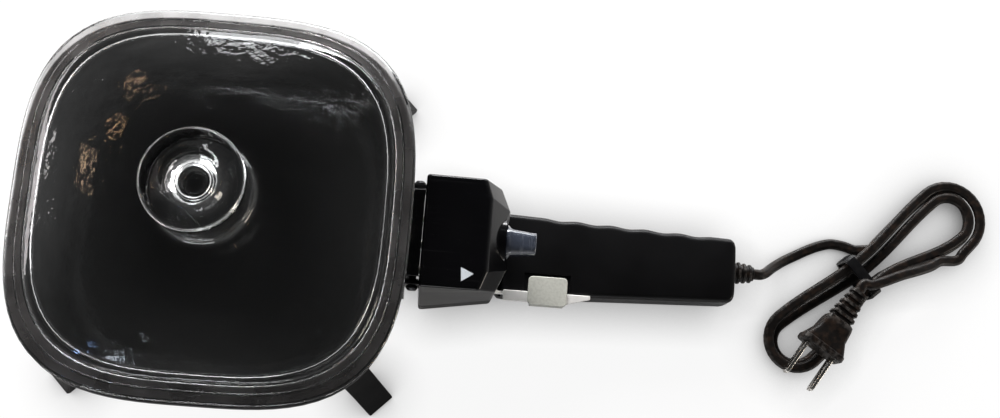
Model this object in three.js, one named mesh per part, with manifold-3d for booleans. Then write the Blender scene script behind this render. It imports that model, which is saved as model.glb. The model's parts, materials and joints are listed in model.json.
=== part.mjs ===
// A small square electric skillet with a glass lid, a plug-in handle with its thermostat, and a cord.
// Millimetres, +Z up. The pan's centre is the working origin; the whole is centred at the end.
import * as THREE from "three";
import { mergeVertices } from "three/addons/utils/BufferGeometryUtils.js";
import Module from "manifold-3d";

const wasm = await Module();
wasm.setup();

// Clearances
const seatGap = 0.3; // between two pieces that rest on each other
const axisShare = 0.001; // of a shape's half width, where its outline closes on its axis
const boreGap = 0.2; // round a pin in its hole, on the radius
const slotGap = 0.6; // round a plate in its slot
const overrun = 1; // how far a cutter runs past the face that it cuts
const bite = 0.5; // how deep a rib or boss is sunk into the wall that carries it

// Counts of sides and steps
const bodySides = 48;
const roundSides = 16;
const smallSides = 10;
const cornerSteps = 3;

// Pan
const rimHalf = 76; // half the width over the rim
const rimTop = 69;
const rimWidth = 6;
const rimThickness = 3.5;
const wallThickness = 3;
const rimPastWall = 2.5;
const wallHalfTop = rimHalf - rimPastWall;
const wallTaper = 7.5;
const wallHalfFoot = wallHalfTop - wallTaper;
const wallFootZ = 36;
const baseInset = 8;
const baseHalf = wallHalfFoot - baseInset;
const baseCornerOut = 4.4;
const baseCornerHalf = baseHalf + baseCornerOut;
const baseCornerRise = 3.2;
const baseZ = 24;
const baseThickness = 4.5;
const floorInset = 3;
const floorHalf = baseHalf - floorInset;
const floorCornerOut = 5;
const floorCornerHalf = floorHalf + floorCornerOut;
const floorCornerRise = 1.6;
const squareness = 3.25; // exponent of the superellipse that the pan and the lid follow

// Lid
const lidInset = 0.4; // from the rim's edge
const lidHalf = rimHalf - lidInset;
const lidShift = 2; // the lid lies this far off centre, in its play
const glass = 4;
const flangeEdge = 1.5;
const flangeRise = 1.6;
const flangeWidth = 4.6;
const stepRise = 0.7;
const bandWidth = 4.5;
const bandRise = 2.2;
const domeRise = 14.6; // from the inner line of the band to the foot of the knob
const knobFootRise = 23.5; // above the pan's rim
const knobFootZ = rimTop + knobFootRise;
const knobHeight = 24.5;
const knobTopZ = knobFootZ + knobHeight;
const knobFootRadius = 20.3;
const knobNeckRadius = 15.6;
const knobRadius = 18.7;
const knobDishRadius = 10.4;
const knobDishDepth = 1.6;
const knobBoreRadius = 7.5;
const lipDepth = 3.2;
const lipWidth = 3.2;
const lipPlay = 2.4;
const knobNeckShare = 0.4;
const domeRiseShare = 0.9; // below 1 the dome rises faster at its edge
const domeCornerShare = 0.7; // below 1 the dome turns round sooner
const domeShares = [0, 0.12, 0.3, 0.52, 0.76, 1];

// Legs
const legWidth = 12.5;
const legReach = 30;
const legFootRadius = wallHalfFoot + legReach; // the outer toe's distance from the centre, on the diagonal
const legFootLength = 14;
const legHeelRise = 5;
const legTongueLength = 18;
const legTongueThickness = 5;
const legTongueZ = 15.5;
const legTopZ = 43;
const legTopThickness = 4;
const legWallGap = 0.8;
const legSoftEdge = 1;
const legBossRadius = 6;
const legScrewRadius = 2;
const legScrewHeadRadius = 3.6;
const legScrewHeadHeight = 2;
const legScrewTopZ = 26.8;

// Boss on the pan's side, with the bracket that the handle locks on to
const bossSetback = 4; // behind the rim's edge
const bossDepth = 12;
const bossEndX = rimHalf - bossSetback;
const bossStartX = bossEndX - bossDepth;
const bossHalf = 20;
const bossFootZ = 13.5;
const bossTopZ = 52;
const bracketThickness = 1.5;
const bracketHalf = 22.5;
const bracketFootZ = 12;
const bracketTopZ = 54;
const earInner = 18.7; // inner face of each ear, from the centreline
const earReach = 12;
const earEndX = bossEndX + earReach;
const earFootZ = 36;
const earTopZ = 50;
const bracketScrewY = 13.6;
const bracketScrewZ = 32;
const bracketScrewRadius = 2;
const bracketScrewHeadRadius = 3.2;
const bracketScrewHeadHeight = 1.8;
const bracketScrewLength = 8;
const studReach = 5.3;
const studX = bossEndX + studReach;
const studZ = 45;
const studRadius = 1.6;
const studInner = 16.4;
const studHeadRadius = 2.4;
const studHeadHeight = 1.9;

// Heating element and its pins
const elementRadius = 3.25;
const elementInset = 15; // from the flat of the base
const elementHalf = baseHalf - elementInset;
const elementCornerRadius = 24;
const elementEndGap = 1;
const elementEndX = bossStartX - elementEndGap;
const elementSteps = 48;
const elementSideSteps = 5;
const pinSpacing = 22;
const pinRadius = 2.4;
const pinReach = 22;
const pinEndX = bossEndX + pinReach;
const bushRadius = 4.5;
const bushInset = 1.5;
const bushStartX = bossStartX + bushInset;
const bushReach = 4;
const bushEndX = bossEndX + bushReach;

// Head of the handle
const headRimGap = 4;
const headFrontX = rimHalf + headRimGap;
const headLength = 34.5;
const headRearX = headFrontX + headLength;
const headRearSlope = 8.5;
const headTopRearX = headRearX - headRearSlope;
const headBottomZ = 6;
const headSplitZ = 20;
const headShoulderZ = 50;
const headTopZ = 62;
const headFrontHalf = 26;
const headShoulderFrontHalf = 23.4;
const headTopHalf = 22.4;
const headRearHalf = 21;
const headRearFlatHalf = 12;
const headTopRearFlatHalf = 15;
const headChamferX = 4;
const headTopChamferX = 2.6;
const headCornerRadius = 1.6;
const headEdge = 1.2;
const headWall = 2.2;
const headScrewInset = 9.9;
const headScrewX = headRearX - headScrewInset;
const headScrewY = 12.5;
const postRadius = 3.2;
const pilotRadius = 1.2;
const screwRadius = 1.5;
const screwHeadRadius = 2.8;
const screwHeadHeight = 1.8;
const screwGrip = 9; // length of thread inside the upper piece

// Control knob
const knobAxisZ = 45;
const recessRadius = 8.8;
const recessDepth = 3.5;
const recessFloorX = headRearX - recessDepth;
const recessWall = 2.2;
const bezelRadius = 8.3;
const bezelBore = 4;
const bezelThickness = 1.5;
const shaftRadius = 2;
const shaftInset = 10.5;
const shaftStartX = headFrontX + shaftInset;
const controlGap = 1.8;
const controlStartX = recessFloorX + controlGap;
const controlLength = 13.2;
const controlEndX = controlStartX + controlLength;
const controlSkirtRadius = 7.2;
const controlSkirtLength = 2.4;
const controlHalfWidth = 6;
const controlEndHalfWidth = 4.9;
const controlHalfHeight = 6.6;
const controlEndHalfHeight = 5.6;
const controlBoreDepth = 8;
const camRadius = 7.4;
const camThrow = 1.5;
const camThickness = 3;
const camInset = 1.5;
const camStartX = shaftStartX + camInset;

// Thermostat and terminals inside the head
const blockInset = 4.8;
const blockStartX = headFrontX + blockInset;
const blockLength = 12.7;
const blockEndX = blockStartX + blockLength;
const blockHalf = 15;
const blockHeight = 13;
const socketRadius = 3.5;
const socketOverhang = 0.8;
const probeRadius = 3;
const probeInset = 2.5;
const probeStartX = bossStartX + probeInset;
const probeSetback = 0.5;
const probeEndX = blockEndX - probeSetback;
const frameThickness = 1.2;
const frameHalf = 6;
const frameReach = 6.5;
const frameEndX = blockEndX + frameReach;
const frameTopZ = 50;
const stackInset = 2.8;
const stackX = blockStartX + stackInset;
const stackHalf = 3.4;
const stackLength = 14;
const spacerHeight = 2.3;
const spacerRadius = 3.2;
const bimetalThickness = 0.8;
const contactThickness = 0.6;
const stackScrewRadius = 1.2;
const stackScrewHeadRadius = 2.3;
const stackScrewHeadHeight = 1.4;

// Lever
const leverThickness = 1.2;
const leverY = -17.8; // middle of the lever's upright plate
const leverPivotInset = 10.5;
const leverPivotX = headRearX - leverPivotInset;
const leverPivotZ = 42;
const leverEyeRadius = 5;
const leverPinRadius = 2;
const leverPinHeadRadius = 3.2;
const leverPinHeadHeight = 1;
const hookTipTopZ = 46.2;
const hookTipWidth = 0.9;
const hookCornerShare = 0.87; // height of a six-sided corner over its distance
const hookHeight = 4;
const leverArmWidth = 7;
const stripGap = 0.7;
const stripStartX = headRearX + stripGap;
const stripLength = 36.8;
const stripEndX = stripStartX + stripLength;
const stripZ = 24;
const stripNear = -21;
const stripFar = -16.5;
const stripEndWidth = 1.6;
const leverFootZ = 22.2;
const leverHeelReach = 2.5;
const leverHeelX = leverPivotX + leverHeelReach;
const leverToeReach = 17;
const leverToeX = leverPivotX + leverToeReach;
const tabInset = 10.3;
const tabStartX = stripStartX + tabInset;
const tabLength = 16.5;
const tabEndX = tabStartX + tabLength;
const tabFar = -10;
const tabNear = -22.2;
const tabThickness = 1.2;
const tabSkirtFootZ = 20.8;
const tabCornerRadius = 2.2;
const tabCornerShare = 0.3; // of the radius, from a square corner to the arc's middle

// Grip
const gripLength = 99.5;
const gripEndX = headRearX + gripLength;
const gripBottomZ = 5;
const gripSplitZ = 14.3;
const gripTopZ = 24;
const gripFarFront = 16.4;
const gripFarEnd = 13.3;
const gripNearFront = 18.6;
const gripNearEnd = 14.2;
const gripCornerRadius = 3;
const gripEdge = 1.5;
const gripWall = 2.2;
const gripScrewReach = 43.5;
const gripScrewInset = 14;
const gripScrewXs = [headRearX + gripScrewReach, gripEndX - gripScrewInset];
const gripScrewY = 9.2;
const tabRecessMargin = 1.5;
const tabRecessDepth = 1;
const rebateY = -15.9;
const rebateZ = 21.7;

// Strain relief and the cord's tail
const cordRadius = 2.3;
const cordZ = 14;
const reliefLength = 10;
const reliefEndX = gripEndX + reliefLength;
const reliefRadius = 5.5;
const reliefEndRadius = 4;
const reliefRibs = 4;
const reliefGroove = 0.9;
const reliefFlangeRadius = 6.6;
const reliefFlangeThickness = 2;
const tailLength = 46;
const tailEndX = gripEndX - tailLength;
const wireRadius = 1;
const wireSteps = 10;
const wireSides = 8;
const capRadius = 2.6;
const capLength = 9;
const wireLength = 18;
const capEndX = tailEndX - wireLength;
const capY = 4.4;

// Cord outside the handle
const hankReach = 56.1;
const hankCentre = [reliefEndX + hankReach, 3.5];
const hankAngle = THREE.MathUtils.degToRad(41.7);
const foldHalf = 44.9; // from the hank's centre to each fold's centre
const outerFoldRadius = 13.8;
const strandStep = 5.25; // from one strand's axis to the next
const layerStep = 5.25;
const floorGap = 0.1;
const waistPinch = 6.5; // how far the tie draws the strands in
const waistShift = 3;
const waistLift = 1.7;
const stepsPerTurn = 24;
const hankSides = 6;
const cordSides = 10;
const hankStartTurn = 0.05;
const hankReverseTurn = 1;
const hankEndTurn = 2.375;
const tieWidth = 4.6;
const tieThickness = 1.2;
const tieU = -4.8;
const tieMargin = 1.1; // round the strands, to each side
const tieTopMargin = 0.35;

// Plug
const plugReach = 46.6;
const plugStart = [reliefEndX + plugReach, -4.3];
const plugAngle = THREE.MathUtils.degToRad(-123.1); // heading of the blades, seen from above
const plugZ = 16;
const neckLength = 15.5;
const neckStartHalf = 3.4;
const neckEndHalf = 5.6;
const neckStartHalfHeight = 3;
const neckEndHalfHeight = 4;
const neckRibs = 4;
const neckGroove = 0.7;
const plugLength = 13;
const plugRearHalf = 6.4;
const plugFrontHalf = 9.6;
const plugHalfHeight = 5.4;
const plugFlangeLength = 3;
const plugFlangeHalf = 10;
const plugFlangeHalfHeight = 6;
const bladeSpacing = 12.7;
const bladeThickness = 1.5;
const bladeHalfWidth = 3.2;
const bladeLength = 16.5;
const bladeRoot = 4;
const bladeChamfer = 1.6;

// Materials: colour, roughness, metalness
const looks = {
  coating: [0x0d0d0e, 0.45, 0.1],
  glass: [0xdfe6e8, 0.05, 0],
  blackGloss: [0x0a0a0b, 0.2, 0],
  blackSatin: [0x101012, 0.5, 0],
  smoke: [0x59626c, 0.12, 0],
  steel: [0xb4b6b8, 0.35, 1],
  tabSteel: [0xc9cac5, 0.45, 0.6],
  brass: [0xb08d57, 0.3, 1],
  ceramic: [0xe6e0d2, 0.6, 0],
  phenolic: [0x3a2417, 0.6, 0],
  cordRubber: [0x17171a, 0.55, 0],
  wire: [0x6d6d70, 0.6, 0],
};

function material(look) {
  const [color, roughness, metalness] = looks[look];
  return new THREE.MeshStandardMaterial({ color, roughness, metalness });
}

// Closed solids, joined and cut

function solidFrom(geometry) {
  const bare = geometry.clone();
  bare.deleteAttribute("normal");
  bare.deleteAttribute("uv");
  const merged = mergeVertices(bare, 1e-4);
  const triVerts = merged.index ? new Uint32Array(merged.index.array) : null;
  const vertProperties = merged.attributes.position.array;
  return new wasm.Manifold(new wasm.Mesh({ numProp: 3, vertProperties, triVerts }));
}

function geometryFrom(solid) {
  const mesh = solid.getMesh();
  const geometry = new THREE.BufferGeometry();
  geometry.setAttribute("position", new THREE.BufferAttribute(mesh.vertProperties, 3));
  geometry.setIndex(new THREE.BufferAttribute(mesh.triVerts, 1));
  return geometry;
}

function joined(...geometries) {
  return geometryFrom(geometries.map(solidFrom).reduce((sum, piece) => sum.add(piece)));
}

function cut(geometry, ...cutters) {
  const left = cutters.map(solidFrom).reduce((rest, piece) => rest.subtract(piece), solidFrom(geometry));
  return geometryFrom(left);
}

function common(geometry, other) {
  return geometryFrom(solidFrom(geometry).intersect(solidFrom(other)));
}

// Plain shapes, placed by their extents

function box([x0, x1], [y0, y1], [z0, z1]) {
  const shape = new THREE.BoxGeometry(x1 - x0, y1 - y0, z1 - z0);
  return shape.translate((x0 + x1) / 2, (y0 + y1) / 2, (z0 + z1) / 2);
}

function cone(axis, [from, to], radiusFrom, radiusTo, [a, b], sides = roundSides) {
  const shape = new THREE.CylinderGeometry(radiusTo, radiusFrom, to - from, sides);
  shape.translate(0, (from + to) / 2, 0);
  if (axis === "x") return shape.rotateZ(-Math.PI / 2).translate(0, a, b);
  if (axis === "y") return shape.translate(a, 0, b);
  return shape.rotateX(Math.PI / 2).translate(a, b, 0);
}

function rod(axis, span, radius, centre, sides = roundSides) {
  return cone(axis, span, radius, radius, centre, sides);
}

function sleeve(axis, [from, to], radius, bore, centre, sides = roundSides) {
  const cutter = rod(axis, [from - overrun, to + overrun], bore, centre, sides);
  return cut(rod(axis, [from, to], radius, centre, sides), cutter);
}

// A plate from its outline, thick along Z
function plateZ(outline, [z0, z1]) {
  const shape = new THREE.Shape(outline.map(([x, y]) => new THREE.Vector2(x, y)));
  return new THREE.ExtrudeGeometry(shape, { depth: z1 - z0, bevelEnabled: false }).translate(0, 0, z0);
}

// A plate from its outline in X and Z, thick along Y
function plateY(outline, [y0, y1]) {
  const shape = new THREE.Shape(outline.map(([x, z]) => new THREE.Vector2(x, z)));
  const plate = new THREE.ExtrudeGeometry(shape, { depth: y1 - y0, bevelEnabled: false });
  return plate.rotateX(Math.PI / 2).translate(0, y1, 0);
}

// The rings given, all with the same number of points, joined into one closed skin
function skin(rings) {
  const count = rings[0].length;
  const positions = rings.flat(2);
  const index = [];
  for (let row = 0; row + 1 < rings.length; row += 1) {
    for (let i = 0; i < count; i += 1) {
      const a = row * count + i;
      const b = row * count + ((i + 1) % count);
      index.push(a, b, b + count, a, b + count, a + count);
    }
  }
  const last = (rings.length - 1) * count;
  for (let i = 1; i + 1 < count; i += 1) {
    index.push(0, i + 1, i);
    index.push(last, last + i, last + i + 1);
  }
  const geometry = new THREE.BufferGeometry();
  geometry.setAttribute("position", new THREE.Float32BufferAttribute(positions, 3));
  geometry.setIndex(index);
  return geometry;
}

// A corner-rounded outline, counter-clockwise, with the same number of points for each corner
function roundedOutline(corners, radius) {
  const outline = [];
  corners.forEach((corner, i) => {
    const here = new THREE.Vector2(...corner);
    const before = new THREE.Vector2(...corners.at(i - 1)).sub(here).normalize();
    const after = new THREE.Vector2(...corners[(i + 1) % corners.length]).sub(here).normalize();
    const half = Math.acos(THREE.MathUtils.clamp(before.dot(after), -1, 1)) / 2;
    const start = here.clone().addScaledVector(before, radius / Math.tan(half));
    const end = here.clone().addScaledVector(after, radius / Math.tan(half));
    for (let step = 0; step <= cornerSteps; step += 1) {
      const share = step / cornerSteps;
      const point = start.clone().multiplyScalar((1 - share) ** 2);
      point.addScaledVector(here, 2 * share * (1 - share)).addScaledVector(end, share ** 2);
      outline.push([point.x, point.y]);
    }
  });
  return outline;
}

function atHeight(outline, z) {
  return outline.map(([x, y]) => [x, y, z]);
}

// Turns a profile of [half width, height, exponent] about Z, with a superellipse for a section.
// The profile starts and ends on the axis, and is written from the top outwards and back below.
function squareTurned(profile, centre = [0, 0]) {
  const rings = profile.map(([half, z, exponent]) => {
    const ring = [];
    for (let i = 0; i < bodySides; i += 1) {
      const turn = (-2 * Math.PI * i) / bodySides;
      const [c, s] = [Math.cos(turn), Math.sin(turn)];
      const reach = half / (Math.abs(c) ** exponent + Math.abs(s) ** exponent) ** (1 / exponent);
      ring.push([centre[0] + reach * c, centre[1] + reach * s, z]);
    }
    return ring;
  });
  return skin(rings);
}

// A tube of a round section along points, smooth between them, with straight ends
function tube(points, radius, steps, sides) {
  const knots = points.map((point) => new THREE.Vector3(...point));
  const path = new THREE.CatmullRomCurve3(knots, false, "centripetal");
  const section = new THREE.Shape();
  for (let i = 0; i < sides; i += 1) {
    const turn = (2 * Math.PI * i) / sides;
    const [x, y] = [radius * Math.cos(turn), radius * Math.sin(turn)];
    if (i === 0) section.moveTo(x, y);
    else section.lineTo(x, y);
  }
  return new THREE.ExtrudeGeometry(section, { steps, extrudePath: path, bevelEnabled: false });
}

const midpoint = (a, b) => (a + b) / 2;

// Places that several pieces share
const pinZ = baseZ - seatGap - elementRadius;
const pinYs = [-pinSpacing / 2, pinSpacing / 2];
const earSpans = [
  [-earInner - bracketThickness, -earInner],
  [earInner, earInner + bracketThickness],
];
const bushBore = pinRadius + boreGap;
const bracketX = [bossEndX + seatGap, bossEndX + seatGap + bracketThickness];
const blockFootZ = pinZ - blockHeight / 2;
const blockTopZ = pinZ + blockHeight / 2;
const probeBoreRadius = probeRadius + boreGap;
const legCorners = [
  [1, 1],
  [-1, 1],
  [-1, -1],
  [1, -1],
];
const legNames = ["front_right", "front_left", "rear_left", "rear_right"];
const legScrewRadial = legFootRadius - legFootLength - legTongueLength;
const rimInnerHalf = rimHalf - rimWidth;
const flangeBottomZ = rimTop + seatGap;
const leverBossY = leverY - leverThickness / 2 - seatGap;
const leverPinEndY = leverBossY - leverPinRadius;
const leverSlotFootZ = earFootZ - (leverPivotX - headFrontX) / 2;
const frameZ = blockTopZ + seatGap;
const lowerSpacerZ = [frameZ + frameThickness + seatGap, frameZ + frameThickness + seatGap + spacerHeight];
const bimetalZ = [lowerSpacerZ[1] + seatGap, lowerSpacerZ[1] + seatGap + bimetalThickness];
const upperSpacerZ = [bimetalZ[1] + seatGap, bimetalZ[1] + seatGap + spacerHeight];
const contactZ = [upperSpacerZ[1] + seatGap, upperSpacerZ[1] + seatGap + contactThickness];
const stackScrewBite = 3 * stackScrewRadius;
const controlNeckX = recessFloorX + seatGap + bezelThickness + seatGap;
const headScrewTopZ = headSplitZ + screwGrip;
const gripScrewTopZ = gripTopZ - gripWall - seatGap;

// Pan

function panOutside() {
  return squareTurned([
    [rimHalf * axisShare, rimTop, squareness],
    [rimHalf, rimTop, squareness],
    [rimHalf, rimTop - rimThickness, squareness],
    [wallHalfTop, rimTop - rimThickness - (rimHalf - wallHalfTop), squareness],
    [wallHalfFoot, wallFootZ, squareness],
    [
      midpoint(wallHalfFoot, baseCornerHalf),
      midpoint(wallFootZ, baseZ + baseCornerRise) - baseCornerRise / 2,
      squareness,
    ],
    [baseCornerHalf, baseZ + baseCornerRise, squareness],
    [baseHalf, baseZ, squareness],
    [baseHalf * axisShare, baseZ, squareness],
  ]);
}

function panInside() {
  const floorZ = baseZ + baseThickness;
  return squareTurned([
    [rimInnerHalf * axisShare, rimTop + overrun, squareness],
    [rimInnerHalf, rimTop + overrun, squareness],
    [rimInnerHalf, rimTop - rimThickness, squareness],
    [wallHalfFoot - wallThickness, wallFootZ, squareness],
    [floorCornerHalf, floorZ + floorCornerRise, squareness],
    [floorHalf, floorZ, squareness],
    [floorHalf * axisShare, floorZ, squareness],
  ]);
}

function onDiagonal([sx, sy], radial) {
  return [(sx * radial) / Math.SQRT2, (sy * radial) / Math.SQRT2];
}

function panBody() {
  const boss = box([bossStartX, bossEndX], [-bossHalf, bossHalf], [bossFootZ, bossTopZ]);
  const legBossSpan = [legTongueZ + legTongueThickness + seatGap, baseZ + bite];
  const legBosses = legCorners.map((corner) =>
    rod("z", legBossSpan, legBossRadius, onDiagonal(corner, legScrewRadial)),
  );
  const screwSpan = [legBossSpan[0] - overrun, legScrewTopZ + boreGap];
  const screwHoles = legCorners.map((corner) =>
    rod("z", screwSpan, legScrewRadius + boreGap, onDiagonal(corner, legScrewRadial), smallSides),
  );
  const bushSpan = [bossStartX - overrun, bossEndX + overrun];
  const bushHoles = pinYs.map((y) => rod("x", bushSpan, bushRadius + boreGap, [y, pinZ]));
  const probeHole = rod("x", [probeStartX - seatGap, bossEndX + overrun], probeBoreRadius, [0, pinZ]);
  const bracketHoles = [-bracketScrewY, bracketScrewY].map((y) =>
    rod(
      "x",
      [bossEndX - bracketScrewLength, bossEndX + overrun],
      bracketScrewRadius + boreGap,
      [y, bracketScrewZ],
      smallSides,
    ),
  );
  return cut(
    joined(panOutside(), boss, ...legBosses),
    panInside(),
    ...screwHoles,
    ...bushHoles,
    probeHole,
    ...bracketHoles,
  );
}

// Lid: the flange lies on the rim, a lip drops inside it, and the dome carries a hollow moulded knob
function lid() {
  const flangeTop = flangeBottomZ + flangeEdge;
  const stepHalf = lidHalf - flangeWidth;
  const stepZ = flangeTop + flangeRise;
  const bandHalf = stepHalf - bandWidth;
  const bandZ = stepZ + stepRise + bandRise;
  const lipHalf = rimInnerHalf - lipPlay;
  const lipInner = lipHalf - lipWidth;
  const domeSpan = bandHalf - knobFootRadius;
  const dishZ = knobTopZ - knobDishDepth;
  const neckZ = knobFootZ + (knobTopZ - knobFootZ) * knobNeckShare;
  const shoulderZ = knobTopZ - glass;
  const dome = (share) => bandZ + domeRise * Math.sin((share * Math.PI) / 2) ** domeRiseShare;
  const domeSquareness = (share) => squareness + (2 - squareness) * share ** domeCornerShare;
  const outer = domeShares.map((share) => [bandHalf - domeSpan * share, dome(share), domeSquareness(share)]);
  const under = domeShares.map((share) => [
    lipInner - (lipInner - knobFootRadius) * share,
    Math.max(dome(share) - glass, flangeBottomZ + glass),
    domeSquareness(share),
  ]);
  const profile = [
    [knobDishRadius * axisShare, dishZ, 2],
    [knobDishRadius - knobDishDepth, dishZ + knobDishDepth / 4, 2],
    [knobDishRadius, knobTopZ - knobDishDepth / 4, 2],
    [knobDishRadius + knobDishDepth, knobTopZ, 2],
    [knobRadius - glass / 2, knobTopZ, 2],
    [knobRadius - glass / 8, knobTopZ - glass / 4, 2],
    [knobRadius, shoulderZ + glass / 4, 2],
    [knobRadius - glass / 8, shoulderZ - glass / 4, 2],
    [knobNeckRadius, neckZ, 2],
    [midpoint(knobNeckRadius, knobFootRadius) - glass / 4, knobFootZ + glass / 4, 2],
    [knobFootRadius, dome(1), 2],
    ...outer.slice(0, -1).reverse(),
    [stepHalf, stepZ + stepRise, squareness],
    [stepHalf, stepZ, squareness],
    [lidHalf - flangeEdge / 2, flangeTop + flangeRise / 4, squareness],
    [lidHalf, flangeTop - flangeEdge / 4, squareness],
    [lidHalf, flangeBottomZ + flangeEdge / 3, squareness],
    [lidHalf - flangeEdge / 2, flangeBottomZ, squareness],
    [lipHalf, flangeBottomZ, squareness],
    [lipHalf, flangeBottomZ - lipDepth * (3 / 4), squareness],
    [midpoint(lipHalf, lipInner), flangeBottomZ - lipDepth, squareness],
    [lipInner, flangeBottomZ - lipDepth * (3 / 4), squareness],
    ...under,
    [knobBoreRadius + glass / 4, knobFootZ - glass / 4, 2],
    [knobBoreRadius, knobFootZ + glass / 2, 2],
    [knobBoreRadius * (7 / 8), dishZ - glass * (7 / 4), 2],
    [knobBoreRadius / 2, dishZ - glass * (5 / 4), 2],
    [knobBoreRadius * axisShare, dishZ - glass * (9 / 8), 2],
  ];
  return squareTurned(profile, [0, lidShift]);
}

// Leg, drawn in its own radial plane and turned to its corner
function leg(corner) {
  const toe = legFootRadius;
  const heel = legFootRadius - legFootLength;
  const tongueEnd = heel - legTongueLength - legBossRadius;
  const tongueTop = legTongueZ + legTongueThickness;
  const wallRadial = (z) => {
    const half =
      wallHalfFoot + ((wallHalfTop - wallHalfFoot) * Math.max(z - wallFootZ, 0)) / (rimTop - wallFootZ);
    return half * 2 ** (0.5 - 1 / squareness) + legWallGap;
  };
  const outline = [
    [tongueEnd, legTongueZ],
    [heel - legHeelRise, legTongueZ],
    [heel, legHeelRise],
    [heel, 0],
    [toe, 0],
    [toe + legSoftEdge / 2, legHeelRise / 2],
    [midpoint(toe, wallRadial(legTopZ)), midpoint(0, legTopZ)],
    [wallRadial(legTopZ) + legTopThickness, legTopZ],
    [wallRadial(legTopZ), legTopZ],
    [wallRadial(wallFootZ), wallFootZ],
    [wallRadial(wallFootZ) - seatGap, midpoint(wallFootZ, tongueTop)],
    [baseCornerHalf * 2 ** (0.5 - 1 / squareness), tongueTop],
    [tongueEnd, tongueTop],
  ];
  const hole = rod(
    "z",
    [legTongueZ - overrun, tongueTop + overrun],
    legScrewRadius + boreGap,
    [legScrewRadial, 0],
    smallSides,
  );
  const blank = plateY(outline, [-legWidth / 2, legWidth / 2]);
  return cut(blank, hole).rotateZ(Math.atan2(corner[1], corner[0]));
}

function screw(axis, [headEnd, tipEnd], radius, headRadius, headHeight, centre) {
  const toTip = Math.sign(tipEnd - headEnd);
  const neck = headEnd + toTip * headHeight;
  const head = rod(axis, [Math.min(headEnd, neck), Math.max(headEnd, neck)], headRadius, centre, smallSides);
  const from = neck - toTip * bite;
  const shank = rod(axis, [Math.min(from, tipEnd), Math.max(from, tipEnd)], radius, centre, smallSides);
  return joined(head, shank);
}

function legScrew(corner) {
  const headFoot = legTongueZ - seatGap - legScrewHeadHeight;
  const centre = onDiagonal(corner, legScrewRadial);
  return screw("z", [headFoot, legScrewTopZ], legScrewRadius, legScrewHeadRadius, legScrewHeadHeight, centre);
}

// Sheathed element: a rounded square loop under the base, its two ends leading out to the pins
function element() {
  const c = elementCornerRadius;
  const h = elementHalf;
  const y = pinSpacing / 2;
  const bend = elementRadius * 3;
  const path = new THREE.CurvePath();
  const at = (px, py) => new THREE.Vector3(px, py, pinZ);
  const line = (from, to) => path.add(new THREE.LineCurve3(from, to));
  const turn = (from, corner, to) => path.add(new THREE.QuadraticBezierCurve3(from, corner, to));
  const corners = [
    [h, h],
    [-h, h],
    [-h, -h],
    [h, -h],
  ];
  line(at(elementEndX, y), at(h + bend, y));
  turn(at(h + bend, y), at(h, y), at(h, y + bend));
  let from = at(h, y + bend);
  corners.forEach(([cx, cy], i) => {
    const next = corners[(i + 1) % corners.length];
    const last = i === corners.length - 1;
    const before = i === 0 ? [h, 0] : corners[i - 1];
    const inX = Math.sign(cx - before[0]);
    const inY = Math.sign(cy - before[1]);
    const outX = last ? 0 : Math.sign(next[0] - cx);
    const outY = last ? 1 : Math.sign(next[1] - cy);
    const start = at(cx - inX * c, cy - inY * c);
    const end = at(cx + outX * c, cy + outY * c);
    if (start.distanceTo(from) > bite) line(from, start);
    turn(start, at(cx, cy), end);
    from = end;
  });
  line(from, at(h, -y - bend));
  turn(at(h, -y - bend), at(h, -y), at(h + bend, -y));
  line(at(h + bend, -y), at(elementEndX, -y));
  const section = new THREE.Shape();
  section.absarc(0, 0, elementRadius, 0, 2 * Math.PI);
  return new THREE.ExtrudeGeometry(section, {
    steps: elementSteps,
    curveSegments: elementSideSteps,
    extrudePath: path,
    bevelEnabled: false,
  });
}

function bush(y) {
  return sleeve("x", [bushStartX, bushEndX], bushRadius, bushBore, [y, pinZ]);
}

function pin(y) {
  return rod("x", [elementEndX + seatGap, pinEndX], pinRadius, [y, pinZ]);
}

// Bracket screwed to the boss, with an ear each side for the catch studs
function bracket() {
  const plate = box(bracketX, [-bracketHalf, bracketHalf], [bracketFootZ, bracketTopZ]);
  const ears = earSpans.map((span) => box([bracketX[0], earEndX], span, [earFootZ, earTopZ]));
  const through = [bracketX[0] - overrun, bracketX[1] + overrun];
  const bushHoles = pinYs.map((y) => rod("x", through, bushRadius + boreGap, [y, pinZ]));
  const probeHole = rod("x", through, probeBoreRadius, [0, pinZ]);
  const screwHoles = [-bracketScrewY, bracketScrewY].map((y) =>
    rod("x", through, bracketScrewRadius + boreGap, [y, bracketScrewZ], smallSides),
  );
  const studHoles = earSpans.map(([y0, y1]) =>
    rod("y", [y0 - overrun, y1 + overrun], studRadius + boreGap, [studX, studZ], smallSides),
  );
  return cut(joined(plate, ...ears), ...bushHoles, probeHole, ...screwHoles, ...studHoles);
}

function bracketScrew(y) {
  const headEnd = bracketX[1] + seatGap + bracketScrewHeadHeight;
  const tip = bossEndX - bracketScrewLength + seatGap;
  const centre = [y, bracketScrewZ];
  return screw(
    "x", [headEnd, tip], bracketScrewRadius, bracketScrewHeadRadius, bracketScrewHeadHeight, centre,
  );
}

function catchStud(side) {
  const headFace = earInner + bracketThickness + seatGap;
  const shank = rod("y", [studInner, headFace + bite], studRadius, [studX, studZ], smallSides);
  const step = studHeadHeight / 2;
  const head = rod("y", [headFace, headFace + step], studHeadRadius, [studX, studZ]);
  const dome = cone(
    "y", [headFace + step, headFace + studHeadHeight], studHeadRadius, studRadius, [studX, studZ],
  );
  const stud = joined(shank, head, dome);
  return side > 0 ? stud : stud.rotateZ(Math.PI).translate(2 * studX, 0, 0);
}

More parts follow.
